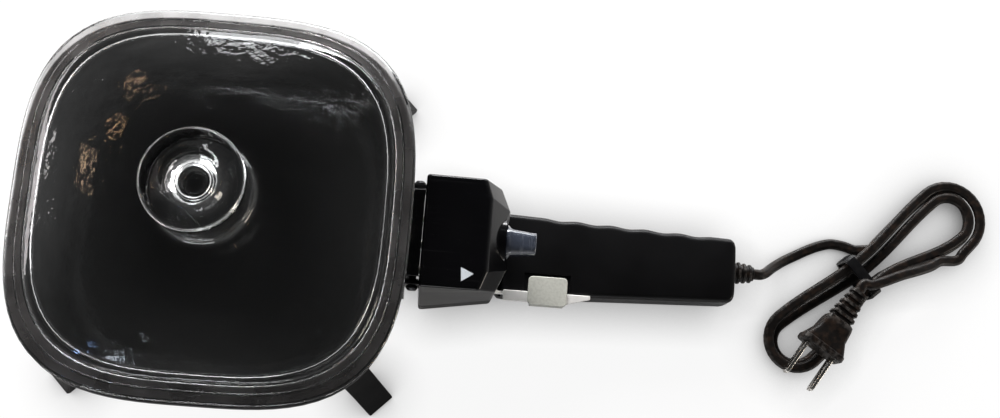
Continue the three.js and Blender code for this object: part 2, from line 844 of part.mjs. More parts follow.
// Head of the handle, as stacked outlines; an inset gives the hollow
function headLevel(z, inset) {
  const rise = THREE.MathUtils.clamp((z - headShoulderZ) / (headTopZ - headShoulderZ), 0, 1);
  const lean = THREE.MathUtils.clamp((z - headSplitZ) / (headShoulderZ - headSplitZ), 0, 1);
  const mix = (low, high, share) => low + (high - low) * share;
  const frontHalf = mix(mix(headFrontHalf, headShoulderFrontHalf, lean), headTopHalf, rise) - inset;
  const rearHalf = mix(headRearHalf, headTopHalf, rise) - inset;
  const rearX = mix(headRearX, headTopRearX, rise) - inset;
  const flatHalf = mix(headRearFlatHalf, headTopRearFlatHalf, rise) - inset;
  const chamferX = mix(headChamferX, headTopChamferX, rise);
  const corners = [
    [headFrontX + inset, -frontHalf],
    [rearX - chamferX, -rearHalf],
    [rearX, -flatHalf],
    [rearX, flatHalf],
    [rearX - chamferX, rearHalf],
    [headFrontX + inset, frontHalf],
  ];
  return atHeight(roundedOutline(corners, headCornerRadius), z);
}

function headSolid([z0, z1], inset, edge) {
  const levels = [[z0, inset], [headShoulderZ, inset], [z1 - edge, inset], [z1, inset + edge]];
  return skin(levels.filter(([z]) => z >= z0 && z <= z1).map(([z, more]) => headLevel(z, more)));
}

function frontHoles() {
  const wall = [headFrontX - overrun, headFrontX + headWall + overrun];
  const pins = pinYs.map((y) => rod("x", wall, socketRadius + slotGap, [y, pinZ]));
  const probe = rod("x", wall, probeRadius + seatGap, [0, pinZ]);
  return [...pins, probe];
}

function headScrewPlaces() {
  return [-headScrewY, headScrewY].map((y) => [headScrewX, y]);
}

function headCover() {
  const foot = headSplitZ + seatGap;
  const outer = headSolid([foot, headTopZ], 0, headEdge);
  const inner = headSolid([foot - overrun, headTopZ - headWall], headWall, headEdge);
  const wall = [headFrontX - overrun, headFrontX + headWall + overrun];
  const leverSpan = [leverY - leverThickness / 2 - slotGap, leverY + leverThickness / 2 + slotGap];
  const earSlotSpan = earSpans.map(([y0, y1]) => [y0 - slotGap, y1 + slotGap]);
  const leverSlot = box(wall, [earSlotSpan[0][0], leverSpan[1]], [leverSlotFootZ, earTopZ + slotGap]);
  const farSlot = box(wall, earSlotSpan[1], [earFootZ - slotGap, earTopZ + slotGap]);
  const rearSlotX = [leverPivotX + leverEyeRadius / 2, headRearX + overrun];
  const rearSlot = box(rearSlotX, leverSpan, [foot + slotGap, leverPivotZ + leverEyeRadius / 2]);
  const pinBoss = rod("y", [leverY - headFrontHalf, leverBossY], leverEyeRadius, [leverPivotX, leverPivotZ]);
  const pinHole = rod(
    "y", [leverPinEndY - seatGap, leverBossY + overrun], leverPinRadius + boreGap, [leverPivotX, leverPivotZ],
  );
  const posts = headScrewPlaces().map((at) =>
    rod("z", [foot + seatGap, headTopZ - headWall + bite], postRadius, at),
  );
  const screwTip = headSplitZ + screwGrip + seatGap;
  const pilots = headScrewPlaces().map((at) =>
    rod("z", [foot - overrun, screwTip], screwRadius + boreGap, at, smallSides),
  );
  const pad = rod("x", [recessFloorX - recessWall, headRearX], recessRadius + recessWall, [0, knobAxisZ]);
  const recess = rod("x", [recessFloorX, headRearX + overrun], recessRadius, [0, knobAxisZ]);
  const shaftHole = rod(
    "x", [recessFloorX - recessWall - overrun, headRearX], shaftRadius + boreGap, [0, knobAxisZ], smallSides,
  );
  const shell = cut(outer, inner);
  const filled = common(joined(shell, pinBoss, pad, ...posts), outer);
  return cut(filled, leverSlot, farSlot, rearSlot, pinHole, recess, shaftHole, ...frontHoles(), ...pilots);
}

// Grip, as stacked outlines
function gripOutline([x0, x1], inset) {
  const share = (x) => (x - headRearX) / (gripEndX - headRearX);
  const far = (x) => gripFarFront + (gripFarEnd - gripFarFront) * share(x) - inset;
  const near = (x) => gripNearFront + (gripNearEnd - gripNearFront) * share(x) - inset;
  const corners = [
    [x0, -near(x0)],
    [x1, -near(x1)],
    [x1, far(x1)],
    [x0, far(x0)],
  ];
  return roundedOutline(corners, gripCornerRadius);
}

function gripSolid(levels) {
  return skin(levels.map(([z, span, inset]) => atHeight(gripOutline(span, inset), z)));
}

function reliefSeat() {
  const flangeX = [gripEndX - gripWall - reliefFlangeThickness - seatGap * 2, gripEndX - gripWall + seatGap];
  const neck = rod("x", [flangeX[0] - overrun, gripEndX + overrun], reliefRadius + seatGap, [0, cordZ]);
  return neck;
}

function gripScrewPlaces() {
  return gripScrewXs.map((x) => [x, gripScrewY]);
}

// One long lower moulding: the floor of the head and the lower half of the grip
function handleBase() {
  const headX = headRearX - headWall;
  const headOuter = skin([
    headLevel(headBottomZ, headEdge),
    headLevel(headBottomZ + headEdge, 0),
    headLevel(headSplitZ, 0),
  ]);
  const headInner = skin([
    headLevel(headBottomZ + headWall, headWall),
    headLevel(headSplitZ + overrun, headWall),
  ]);
  const gripOuter = gripSolid([
    [gripBottomZ, [headX, gripEndX - gripEdge], gripEdge],
    [gripBottomZ + gripEdge, [headX, gripEndX], 0],
    [gripSplitZ, [headX, gripEndX], 0],
  ]);
  const gripInner = gripSolid([
    [gripBottomZ + gripWall, [headX - gripCornerRadius, gripEndX - gripWall], gripWall],
    [gripSplitZ + overrun, [headX - gripCornerRadius, gripEndX - gripWall], gripWall],
  ]);
  const rails = [-1, 1].map((side) =>
    box(
      [blockStartX, blockEndX],
      [side * (blockHalf - headWall) - headWall / 2, side * (blockHalf - headWall) + headWall / 2],
      [headBottomZ + headWall - bite, blockFootZ - seatGap],
    ),
  );
  const headPosts = headScrewPlaces().map((at) =>
    rod("z", [headBottomZ + headWall - bite, headSplitZ], postRadius, at),
  );
  const gripPosts = gripScrewPlaces().map((at) =>
    rod("z", [gripBottomZ + gripWall - bite, gripSplitZ], postRadius, at),
  );
  const headHoles = headScrewPlaces().map((at) =>
    rod("z", [0, headSplitZ + overrun], screwRadius + boreGap, at, smallSides),
  );
  const gripHoles = gripScrewPlaces().map((at) =>
    rod("z", [0, gripSplitZ + overrun], screwRadius + boreGap, at, smallSides),
  );
  const sinkRadius = screwHeadRadius + boreGap;
  const headSinks = headScrewPlaces().map((at) =>
    rod("z", [0, headBottomZ + screwHeadHeight], sinkRadius, at, smallSides),
  );
  const gripSinks = gripScrewPlaces().map((at) =>
    rod("z", [0, gripBottomZ + screwHeadHeight], sinkRadius, at, smallSides),
  );
  const gripTopSpace = box(
    [headRearX, gripEndX + overrun], [-headFrontHalf, headFrontHalf], [gripSplitZ, headSplitZ],
  );
  const whole = cut(
    joined(headOuter, gripOuter), headInner, gripInner, gripTopSpace, ...frontHoles(), reliefSeat(),
  );
  return cut(
    joined(whole, ...rails, ...headPosts, ...gripPosts),
    ...headHoles,
    ...gripHoles,
    ...headSinks,
    ...gripSinks,
  );
}

function gripTop() {
  const foot = gripSplitZ + seatGap;
  const start = headRearX + seatGap;
  const outer = gripSolid([
    [foot, [start, gripEndX], 0],
    [gripTopZ - gripEdge, [start, gripEndX], 0],
    [gripTopZ, [start, gripEndX - gripEdge], gripEdge],
  ]);
  const inner = gripSolid([
    [foot - overrun, [start + gripWall, gripEndX - gripWall], gripWall],
    [gripTopZ - gripWall, [start + gripWall, gripEndX - gripWall], gripWall],
  ]);
  const posts = gripScrewPlaces().map((at) => rod("z", [foot, gripTopZ - gripWall + bite], postRadius, at));
  const pilots = gripScrewPlaces().map((at) =>
    rod("z", [foot - overrun, gripTopZ - gripWall], screwRadius + boreGap, at, smallSides),
  );
  const rebate = box(
    [start - overrun, stripEndX + slotGap], [-headFrontHalf, rebateY], [rebateZ, gripTopZ + overrun],
  );
  const recess = box(
    [tabStartX - tabRecessMargin, tabEndX + tabRecessMargin],
    [-headFrontHalf, tabFar + tabRecessMargin],
    [gripTopZ - tabRecessDepth, gripTopZ + overrun],
  );
  const shell = cut(outer, inner);
  return cut(joined(shell, ...posts), ...pilots, rebate, recess, reliefSeat());
}

function headScrew(at) {
  return screw(
    "z", [headBottomZ, headScrewTopZ], screwRadius, screwHeadRadius, screwHeadHeight - seatGap, at,
  );
}

function gripScrew(at) {
  return screw(
    "z", [gripBottomZ, gripScrewTopZ], screwRadius, screwHeadRadius, screwHeadHeight - seatGap, at,
  );
}

// Terminals and thermostat

function terminalBlock() {
  const body = box([blockStartX, blockEndX], [-blockHalf, blockHalf], [blockFootZ, blockTopZ]);
  const through = [blockStartX - overrun, blockEndX + overrun];
  const sockets = pinYs.map((y) => rod("x", through, socketRadius + boreGap, [y, pinZ]));
  const probe = rod("x", through, probeBoreRadius, [0, pinZ]);
  const stackHole = rod(
    "z",
    [blockTopZ - stackScrewBite, blockTopZ + overrun],
    stackScrewRadius + boreGap,
    [stackX, 0],
    smallSides,
  );
  return cut(body, ...sockets, probe, stackHole);
}

function socket(y) {
  const span = [blockStartX - socketOverhang, blockEndX + socketOverhang];
  return sleeve("x", span, socketRadius, bushBore, [y, pinZ]);
}

function probeRod() {
  return rod("x", [probeStartX, probeEndX], probeRadius, [0, pinZ]);
}

function thermostatFrame() {
  const base = box([blockStartX, frameEndX], [-frameHalf, frameHalf], [frameZ, frameZ + frameThickness]);
  const upright = box([frameEndX - frameThickness, frameEndX], [-frameHalf, frameHalf], [frameZ, frameTopZ]);
  const shaftHole = rod(
    "x",
    [frameEndX - frameThickness - overrun, frameEndX + overrun],
    shaftRadius + boreGap,
    [0, knobAxisZ],
    smallSides,
  );
  return cut(joined(base, upright), shaftHole, stackHole([frameZ, frameZ + frameThickness]));
}

function stackHole([z0, z1]) {
  return rod("z", [z0 - overrun, z1 + overrun], stackScrewRadius + boreGap, [stackX, 0], smallSides);
}

function stackSpacer([z0, z1]) {
  return sleeve("z", [z0, z1], spacerRadius, stackScrewRadius + boreGap, [stackX, 0], smallSides);
}

function stackBlade([z0, z1]) {
  const blade = box(
    [stackX - stackHalf, stackX - stackHalf + stackLength], [-stackHalf, stackHalf], [z0, z1],
  );
  return cut(blade, stackHole([z0, z1]));
}

function stackScrew() {
  const top = contactZ[1] + seatGap + stackScrewHeadHeight;
  return screw(
    "z",
    [top, blockTopZ - stackScrewBite + seatGap],
    stackScrewRadius,
    stackScrewHeadRadius,
    stackScrewHeadHeight,
    [stackX, 0],
  );
}

// The cam presses the contact arm down; it is thrown off centre, lowest at rest
function controlShaft() {
  const shaft = rod(
    "x", [shaftStartX, controlStartX + controlBoreDepth - seatGap], shaftRadius, [0, knobAxisZ], smallSides,
  );
  const cam = rod("x", [camStartX, camStartX + camThickness], camRadius, [0, knobAxisZ - camThrow]);
  return joined(shaft, cam);
}

function bezel() {
  return sleeve(
    "x",
    [recessFloorX + seatGap, recessFloorX + seatGap + bezelThickness],
    bezelRadius,
    bezelBore,
    [0, knobAxisZ],
  );
}

// Tapered bar knob on a round skirt
function controlKnob() {
  const barStart = controlStartX + controlSkirtLength;
  const ring = (x, halfY, halfZ) => {
    const corner = [
      [-halfY, -halfZ],
      [halfY, -halfZ],
      [halfY, halfZ],
      [-halfY, halfZ],
    ];
    return roundedOutline(corner, halfY / 2).map(([y, z]) => [x, y, knobAxisZ + z]);
  };
  const neck = controlHalfWidth - bezelThickness;
  const skirt = cone("x", [controlNeckX, barStart], controlSkirtRadius, controlHalfHeight, [0, knobAxisZ]);
  const bar = skin([
    ring(barStart - bite, controlHalfWidth, controlHalfHeight),
    ring(controlEndX - headEdge, controlEndHalfWidth, controlEndHalfHeight),
    ring(controlEndX, controlEndHalfWidth - headEdge, controlEndHalfHeight - headEdge),
  ]);
  const hub = rod(
    "x", [controlStartX, barStart], Math.min(neck, bezelBore - boreGap), [0, knobAxisZ], smallSides,
  );
  const bore = rod(
    "x",
    [controlStartX - overrun, controlStartX + controlBoreDepth],
    shaftRadius + boreGap / 2,
    [0, knobAxisZ],
    smallSides,
  );
  return cut(joined(skirt, bar, hub), bore);
}

// Lever: an upright plate that hooks on the near stud, with a strip lying along the grip
function lever() {
  const hookX = studX - studRadius - seatGap;
  const underStud = studZ - studRadius - seatGap;
  const hookFoot = underStud - hookHeight;
  const reach = leverEyeRadius;
  const outline = [
    [hookX - hookTipWidth, hookFoot],
    [leverPivotX - leverArmWidth, hookFoot],
    [leverHeelX, leverFootZ],
    [leverToeX, leverFootZ],
    [leverToeX, stripZ + leverThickness],
    [headRearX - overrun, stripZ + leverThickness],
    [leverPivotX + reach - seatGap, leverPivotZ - overrun],
    [leverPivotX + reach / 2, leverPivotZ + reach * hookCornerShare],
    [leverPivotX - reach / 2, leverPivotZ + reach * hookCornerShare],
    [leverPivotX - reach, underStud],
    [hookX, underStud],
    [hookX, hookTipTopZ],
    [hookX - hookTipWidth, hookTipTopZ],
  ];
  const plate = plateY(outline, [leverY - leverThickness / 2, leverY + leverThickness / 2]);
  const strip = plateZ(
    [
      [stripStartX, stripNear],
      [tabEndX, stripNear],
      [stripEndX, stripFar - stripEndWidth],
      [stripEndX, stripFar],
      [stripStartX, stripFar],
    ],
    [stripZ, stripZ + leverThickness],
  );
  const eye = rod(
    "y",
    [leverY - leverThickness, leverY + leverThickness],
    leverPinRadius + boreGap,
    [leverPivotX, leverPivotZ],
    smallSides,
  );
  return cut(joined(plate, strip), eye);
}

function leverPin() {
  const face = leverY + leverThickness / 2 + seatGap;
  return screw(
    "y",
    [face + leverPinHeadHeight, leverPinEndY],
    leverPinRadius,
    leverPinHeadRadius,
    leverPinHeadHeight,
    [leverPivotX, leverPivotZ],
  );
}

function leverTab() {
  const plateZ0 = stripZ + leverThickness + seatGap;
  const r = tabCornerRadius;
  const outline = [
    [tabStartX, tabNear],
    [tabEndX, tabNear],
    [tabEndX, tabFar - r],
    [tabEndX - r * tabCornerShare, tabFar - r * tabCornerShare],
    [tabEndX - r, tabFar],
    [tabStartX + r, tabFar],
    [tabStartX + r * tabCornerShare, tabFar - r * tabCornerShare],
    [tabStartX, tabFar - r],
  ];
  const top = plateZ(outline, [plateZ0, plateZ0 + tabThickness]);
  const skirt = box([tabStartX, tabEndX], [tabNear, stripNear - seatGap], [tabSkirtFootZ, plateZ0 + bite]);
  return joined(top, skirt);
}

// Strain relief: a ribbed sleeve with a flange held inside the grip's end wall
function strainRelief() {
  const ribLength = (reliefEndX - gripEndX) / (2 * reliefRibs);
  const flangeX = gripEndX - gripWall - seatGap - reliefFlangeThickness;
  let body = rod("x", [flangeX, gripEndX + ribLength], reliefRadius, [0, cordZ]);
  body = joined(body, rod("x", [flangeX, flangeX + reliefFlangeThickness], reliefFlangeRadius, [0, cordZ]));
  for (let rib = 0; rib < reliefRibs; rib += 1) {
    const start = gripEndX + ribLength * (2 * rib + 1);
    const radius = reliefRadius + ((reliefEndRadius - reliefRadius) * (rib + 1)) / reliefRibs;
    const groove = rod(
      "x",
      [start - bite, start + ribLength + (rib + 1 < reliefRibs ? bite : 0)],
      radius - reliefGroove,
      [0, cordZ],
    );
    body = joined(body, groove);
    if (rib + 1 < reliefRibs) {
      body = joined(body, rod("x", [start + ribLength, start + 2 * ribLength], radius, [0, cordZ]));
    }
  }
  return cut(body, rod("x", [flangeX - overrun, reliefEndX + overrun], cordRadius + boreGap, [0, cordZ]));
}

function cordTail() {
  return rod("x", [tailEndX, reliefEndX - seatGap / 2], cordRadius, [0, cordZ], cordSides);
}

// Each core leaves the tail, passes a crimped cap and ends behind its socket or on the contact arm
function wireEnd(side) {
  const start = [tailEndX - 2 * seatGap, (side * cordRadius) / 2, cordZ];
  return tube(
    [start, [midpoint(tailEndX, capEndX), side * capY, cordZ], [capEndX + seatGap, side * capY, cordZ]],
    wireRadius,
    wireSteps,
    wireSides,
  );
}

function wireCap(side) {
  return rod("x", [capEndX - capLength, capEndX], capRadius, [side * capY, cordZ], smallSides);
}

function wireLead(side) {
  const socketEnd = blockEndX + socketOverhang + seatGap;
  const endY = (side * pinSpacing) / 2;
  return tube(
    [
      [capEndX - capLength - seatGap, side * capY, cordZ],
      [midpoint(capEndX, headRearX), side * capY, cordZ],
      [headRearX, side * capY, midpoint(cordZ, gripBottomZ + gripWall + capRadius)],
      [midpoint(headRearX, socketEnd), side * (capY + wireRadius), midpoint(cordZ, pinZ)],
      [socketEnd, endY - side * (bushBore + wireRadius / 2), pinZ],
    ],
    wireRadius,
    wireSteps,
    wireSides,
  );
}

// Cord outside the handle

const hankAlong = [Math.cos(hankAngle), Math.sin(hankAngle)];
const hankAcross = [-Math.sin(hankAngle), Math.cos(hankAngle)];

function hankPlace(u, v, z) {
  return [
    hankCentre[0] + u * hankAlong[0] + v * hankAcross[0],
    hankCentre[1] + u * hankAlong[1] + v * hankAcross[1],
    z,
  ];
}

function waist(u) {
  return Math.cos((Math.PI * u) / (2 * foldHalf)) ** 2;
}

// Clockwise from the waist: a turn is four equal parts, two runs and two folds
function hankPoint(turn) {
  const inwards = Math.abs(turn - hankReverseTurn) - hankReverseTurn;
  const radius = outerFoldRadius + strandStep * inwards;
  const climb = THREE.MathUtils.smoothstep(turn, hankReverseTurn - 1 / 8, hankReverseTurn + 1 / 8);
  const z = cordRadius + floorGap + layerStep * climb;
  const part = ((turn + 1 / 8) % 1) * 4;
  const along = part % 1;
  if (part < 1) return hankRun(-foldHalf + 2 * foldHalf * along, radius, 1, z);
  if (part < 2) return hankFold(1, radius, along, z);
  if (part < 3) return hankRun(foldHalf - 2 * foldHalf * along, radius, -1, z);
  return hankFold(-1, radius, along, z);
}

function hankRun(u, radius, side, z) {
  const v = side * (radius - waistPinch * waist(u)) + waistShift * waist(u);
  return hankPlace(u, v, z + waistLift * waist(u));
}

function hankFold(end, radius, along, z) {
  const turn = Math.PI * (0.5 - along);
  return hankPlace(end * (foldHalf + radius * Math.cos(turn)), end * radius * Math.sin(turn), z);
}

function unit(from, to) {
  return new THREE.Vector3(...to).sub(new THREE.Vector3(...from)).normalize();
}

function moved(point, direction, distance) {
  return new THREE.Vector3(...point).addScaledVector(direction, distance).toArray();
}

const turnStep = 1 / stepsPerTurn;
const hankStartWay = unit(hankPoint(hankStartTurn), hankPoint(hankStartTurn + turnStep / 4));
const hankEndWay = unit(hankPoint(hankEndTurn - turnStep / 4), hankPoint(hankEndTurn));
const hankStart = moved(hankPoint(hankStartTurn), hankStartWay, -2 * cordRadius);
const hankEnd = moved(hankPoint(hankEndTurn), hankEndWay, 2 * cordRadius);

function hankRoute() {
  const route = [hankStart];
  const steps = Math.ceil((hankEndTurn - hankStartTurn) / turnStep);
  for (let step = 0; step <= steps; step += 1) {
    route.push(hankPoint(hankStartTurn + ((hankEndTurn - hankStartTurn) * step) / steps));
  }
  route.push(hankEnd);
  return route;
}

// A tube through points, its rings square to the route
function wound(route, radius, sides) {
  const points = route.map((point) => new THREE.Vector3(...point));
  const up = new THREE.Vector3(0, 0, 1);
  const rings = points.map((point, i) => {
    const before = points[Math.max(i - 1, 0)];
    const after = points[Math.min(i + 1, points.length - 1)];
    const way = after.clone().sub(before).normalize();
    const side = up.clone().cross(way).normalize();
    const top = way.clone().cross(side);
    const ring = [];
    for (let k = 0; k < sides; k += 1) {
      const turn = (2 * Math.PI * k) / sides;
      const spot = point
        .clone()
        .addScaledVector(side, radius * Math.cos(turn))
        .addScaledVector(top, radius * Math.sin(turn));
      ring.push(spot.toArray());
    }
    return ring;
  });
  return skin(rings);
}

// Least gap between stretches of the hank that aren't neighbours along the cord
function leastHankGap() {
  const fine = [];
  const steps = Math.ceil((hankEndTurn - hankStartTurn) * stepsPerTurn * 4);
  for (let step = 0; step <= steps; step += 1) {
    const spot = hankPoint(hankStartTurn + ((hankEndTurn - hankStartTurn) * step) / steps);
    fine.push(new THREE.Vector3(...spot));
  }
  let least = Infinity;
  fine.forEach((a, i) => {
    for (let j = i + stepsPerTurn; j < fine.length; j += 1) least = Math.min(least, a.distanceTo(fine[j]));
  });
  return least - 2 * cordRadius;
}

console.log(`least gap of the hank to itself: ${leastHankGap().toFixed(2)} mm`);

// From the strain relief down to the table and into the hank; the points are chosen by hand
const leadRoute = [
  [0.15, 0, 14],
  [2.6, 0, 14],
  [6, 1.2, 12],
  [10.5, 4.6, 7.6],
  [16.5, 8.6, 3.6],
  [22.3, 11.8, 2.5],
  [27.5, 14.6, 2.5],
  [33, 17, 2.5],
  [38.8, 18.4, 2.5],
  [44.2, 17.8, 2.6],
  [49.6, 16.4, 3],
  [54.4, 16.9, 3.6],
].map(([x, y, z]) => [reliefEndX + x, y, z]);

// From the hank, up and over its tied waist, to the plug
const endRoute = [
  [29.8, 13.4, 9.6],
  [24.1, 10.2, 12],
  [17.3, 7.4, 14.6],
  [9.5, 4.6, 16.2],
  [1.7, 1.2, 16.6],
  [-4.3, -0.9, 16.4],
].map(([x, y, z]) => [hankCentre[0] + x, y, z]);

const plugWay = [Math.cos(plugAngle), Math.sin(plugAngle), 0];
const plugSide = [-Math.sin(plugAngle), Math.cos(plugAngle), 0];
const cordEndPoint = [plugStart[0] - plugWay[0] * seatGap, plugStart[1] - plugWay[1] * seatGap, plugZ];

function freeCord(route) {
  return tube(route, cordRadius, Math.ceil(route.length * 2.2), cordSides);
}

function cordLead() {
  const meet = moved(hankStart, hankStartWay, -seatGap);
  const before = moved(meet, hankStartWay, -2 * cordRadius);
  return freeCord([...leadRoute, before, meet]);
}

function cordEnd() {
  const meet = moved(hankEnd, hankEndWay, seatGap);
  const after = moved(meet, hankEndWay, 2 * cordRadius);
  const before = [
    cordEndPoint[0] - plugWay[0] * 2 * cordRadius,
    cordEndPoint[1] - plugWay[1] * 2 * cordRadius,
    plugZ,
  ];
  return freeCord([meet, after, ...endRoute, before, cordEndPoint]);
}

// The tie is a band round the drawn-in strands
function cordTie() {
  const outerV = outerFoldRadius - waistPinch + waistShift + cordRadius + tieMargin;
  const innerV = -(outerFoldRadius - strandStep / 2 - waistPinch) + waistShift - cordRadius - tieMargin;
  const low = floorGap + tieThickness;
  const high = floorGap + waistLift + layerStep + 2 * cordRadius + tieTopMargin;
  const ring = (grow) => roundedOutline(
    [
      [innerV - grow, low - grow],
      [outerV + grow, low - grow],
      [outerV + grow, high + grow],
      [innerV - grow, high + grow],
    ],
    cordRadius + grow,
  );
  const slab = (outline, u0, u1) => skin([
    outline.map(([v, z]) => hankPlace(u0, v, z)),
    outline.map(([v, z]) => hankPlace(u1, v, z)),
  ]);
  const [u0, u1] = [tieU - tieWidth / 2, tieU + tieWidth / 2];
  return cut(slab(ring(tieThickness), u0, u1), slab(ring(0), u0 - overrun, u1 + overrun));
}

// Plug pieces, drawn along the plug's own heading

function plugRing(along, halfWidth, halfHeight, radius) {
  const corners = [
    [-halfWidth, -halfHeight],
    [halfWidth, -halfHeight],
    [halfWidth, halfHeight],
    [-halfWidth, halfHeight],
  ];
  return roundedOutline(corners, radius).map(([side, rise]) => [
    plugStart[0] + along * plugWay[0] + side * plugSide[0],
    plugStart[1] + along * plugWay[1] + side * plugSide[1],
    plugZ + rise,
  ]);
}

function plugNeck() {
  const rings = [];
  const ribLength = neckLength / (2 * neckRibs);
  for (let step = 0; step < 2 * neckRibs; step += 1) {
    const share = step / (2 * neckRibs - 1);
    const drop = step % 2 === 1 ? neckGroove : 0;
    const halfWidth = neckStartHalf + (neckEndHalf - neckStartHalf) * share - drop;
    const halfHeight = neckStartHalfHeight + (neckEndHalfHeight - neckStartHalfHeight) * share - drop;
    const [from, to] = [step * ribLength, (step + 1) * ribLength];
    const place = from + (step > 0 ? neckGroove / 4 : 0);
    rings.push(plugRing(place, halfWidth, halfHeight, neckStartHalfHeight / 2));
    rings.push(plugRing(to - neckGroove / 4, halfWidth, halfHeight, neckStartHalfHeight / 2));
  }
  return skin(rings);
}

function plugBody() {
  const start = neckLength + seatGap;
  const front = start + plugLength;
  const soft = plugHalfHeight / 2;
  const body = skin([
    plugRing(start, plugRearHalf - soft / 2, plugHalfHeight - soft / 2, soft),
    plugRing(start + soft / 2, plugRearHalf, plugHalfHeight, soft),
    plugRing(front, plugFrontHalf, plugHalfHeight, soft),
    plugRing(front + bite, plugFlangeHalf, plugFlangeHalfHeight, soft),
    plugRing(front + plugFlangeLength, plugFlangeHalf, plugFlangeHalfHeight, soft),
  ]);
  return cut(body, ...[-1, 1].map((side) => bladeSolid(side, boreGap)));
}

function bladeSolid(side, grow) {
  const front = neckLength + seatGap + plugLength + plugFlangeLength;
  const middle = (side * bladeSpacing) / 2;
  const halfThickness = bladeThickness / 2 + grow;
  const ring = (along, halfWidth) =>
    [
      [middle - halfThickness, -halfWidth],
      [middle + halfThickness, -halfWidth],
      [middle + halfThickness, halfWidth],
      [middle - halfThickness, halfWidth],
    ].map(([across, rise]) => [
      plugStart[0] + along * plugWay[0] + across * plugSide[0],
      plugStart[1] + along * plugWay[1] + across * plugSide[1],
      plugZ + rise,
    ]);
  const halfWidth = bladeHalfWidth + grow;
  return skin([
    ring(front - bladeRoot - grow, halfWidth),
    ring(front + bladeLength - bladeChamfer, halfWidth),
    ring(front + bladeLength, halfWidth - bladeChamfer / 2),
  ]);
}

// The whole skillet

const skillet = new THREE.Group();

function add(name, look, geometry) {
  const mesh = new THREE.Mesh(geometry, material(look));
  mesh.name = name;
  skillet.add(mesh);
}

add("pan", "coating", panBody());
add("lid", "glass", lid());
legCorners.forEach((corner, i) => {
  add(`leg_${legNames[i]}`, "blackSatin", leg(corner));
  add(`leg_screw_${legNames[i]}`, "steel", legScrew(corner));
});
add("heating_element", "steel", element());
[
  ["left", 1],
  ["right", -1],
].forEach(([name, side]) => {
  add(`terminal_pin_${name}`, "steel", pin((side * pinSpacing) / 2));
  add(`pin_insulator_${name}`, "ceramic", bush((side * pinSpacing) / 2));
  add(`bracket_screw_${name}`, "steel", bracketScrew(side * bracketScrewY));
  add(`catch_stud_${name}`, "steel", catchStud(side));
  add(`socket_${name}`, "brass", socket((side * pinSpacing) / 2));
  add(`head_screw_${name}`, "steel", headScrew([headScrewX, side * headScrewY]));
  add(`wire_core_${name}`, "wire", wireEnd(side));
  add(`wire_cap_${name}`, "wire", wireCap(side));
  add(`wire_lead_${name}`, "wire", wireLead(side));
  add(`plug_blade_${name}`, "brass", bladeSolid(side, 0));
});
add("handle_bracket", "steel", bracket());
add("head_cover", "blackGloss", headCover());
add("handle_base", "blackSatin", handleBase());
add("grip_top", "blackSatin", gripTop());
gripScrewPlaces().forEach((at, i) => add(`grip_screw_${i + 1}`, "steel", gripScrew(at)));
add("terminal_block", "phenolic", terminalBlock());
add("probe_rod", "steel", probeRod());
add("thermostat_frame", "steel", thermostatFrame());
add("lower_spacer", "ceramic", stackSpacer(lowerSpacerZ));
add("bimetal_strip", "steel", stackBlade(bimetalZ));
add("upper_spacer", "ceramic", stackSpacer(upperSpacerZ));
add("contact_arm", "brass", stackBlade(contactZ));
add("stack_screw", "steel", stackScrew());
add("control_shaft", "steel", controlShaft());
add("knob_bezel", "smoke", bezel());
add("control_knob", "smoke", controlKnob());
add("lever", "steel", lever());
add("lever_pin", "steel", leverPin());
add("lever_tab", "tabSteel", leverTab());
add("strain_relief", "cordRubber", strainRelief());
add("cord_tail", "cordRubber", cordTail());
add("cord_lead", "cordRubber", cordLead());
add("cord_hank", "cordRubber", wound(hankRoute(), cordRadius, hankSides));
add("cord_tie", "blackSatin", cordTie());
add("cord_end", "cordRubber", cordEnd());
add("plug_neck", "cordRubber", plugNeck());
add("plug_body", "cordRubber", plugBody());

// The part stands on the table with the middle of the pan and handle over the origin
skillet.position.x = (rimHalf - reliefEndX) / 2;

export default skillet;
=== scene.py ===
"""Dresses a small electric skillet: glass lid, coated pan, plug-in handle and bundled cord."""

import json
import math

import bmesh
import bpy
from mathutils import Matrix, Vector

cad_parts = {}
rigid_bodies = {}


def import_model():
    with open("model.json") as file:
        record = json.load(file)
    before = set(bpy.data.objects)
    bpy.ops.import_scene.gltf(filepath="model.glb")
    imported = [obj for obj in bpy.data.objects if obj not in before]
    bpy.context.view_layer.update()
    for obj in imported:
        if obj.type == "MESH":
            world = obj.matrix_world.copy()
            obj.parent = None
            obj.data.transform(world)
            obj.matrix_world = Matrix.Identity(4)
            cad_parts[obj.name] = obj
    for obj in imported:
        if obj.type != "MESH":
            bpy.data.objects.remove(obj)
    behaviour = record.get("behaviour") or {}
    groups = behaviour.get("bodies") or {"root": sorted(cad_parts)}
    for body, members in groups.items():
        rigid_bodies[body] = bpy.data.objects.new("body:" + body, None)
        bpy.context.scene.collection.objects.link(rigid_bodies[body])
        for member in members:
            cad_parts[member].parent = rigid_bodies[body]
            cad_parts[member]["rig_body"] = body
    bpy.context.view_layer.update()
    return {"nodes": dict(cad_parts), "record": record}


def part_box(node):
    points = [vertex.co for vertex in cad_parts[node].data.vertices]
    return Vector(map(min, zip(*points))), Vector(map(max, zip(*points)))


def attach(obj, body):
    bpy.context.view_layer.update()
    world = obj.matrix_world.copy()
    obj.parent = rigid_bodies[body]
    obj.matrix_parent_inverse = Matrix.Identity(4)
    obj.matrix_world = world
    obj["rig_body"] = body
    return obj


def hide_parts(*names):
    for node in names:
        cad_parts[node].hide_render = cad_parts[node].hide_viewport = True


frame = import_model()

bl_info = {
    "name": "Electric Skillet",
    "version": (1, 0, 0),
    "blender": (4, 5, 0),
    "location": "View3D > Sidebar > Skillet",
    "description": "Models and finishes a small electric skillet with its handle and cord",
    "category": "Add Mesh",
}

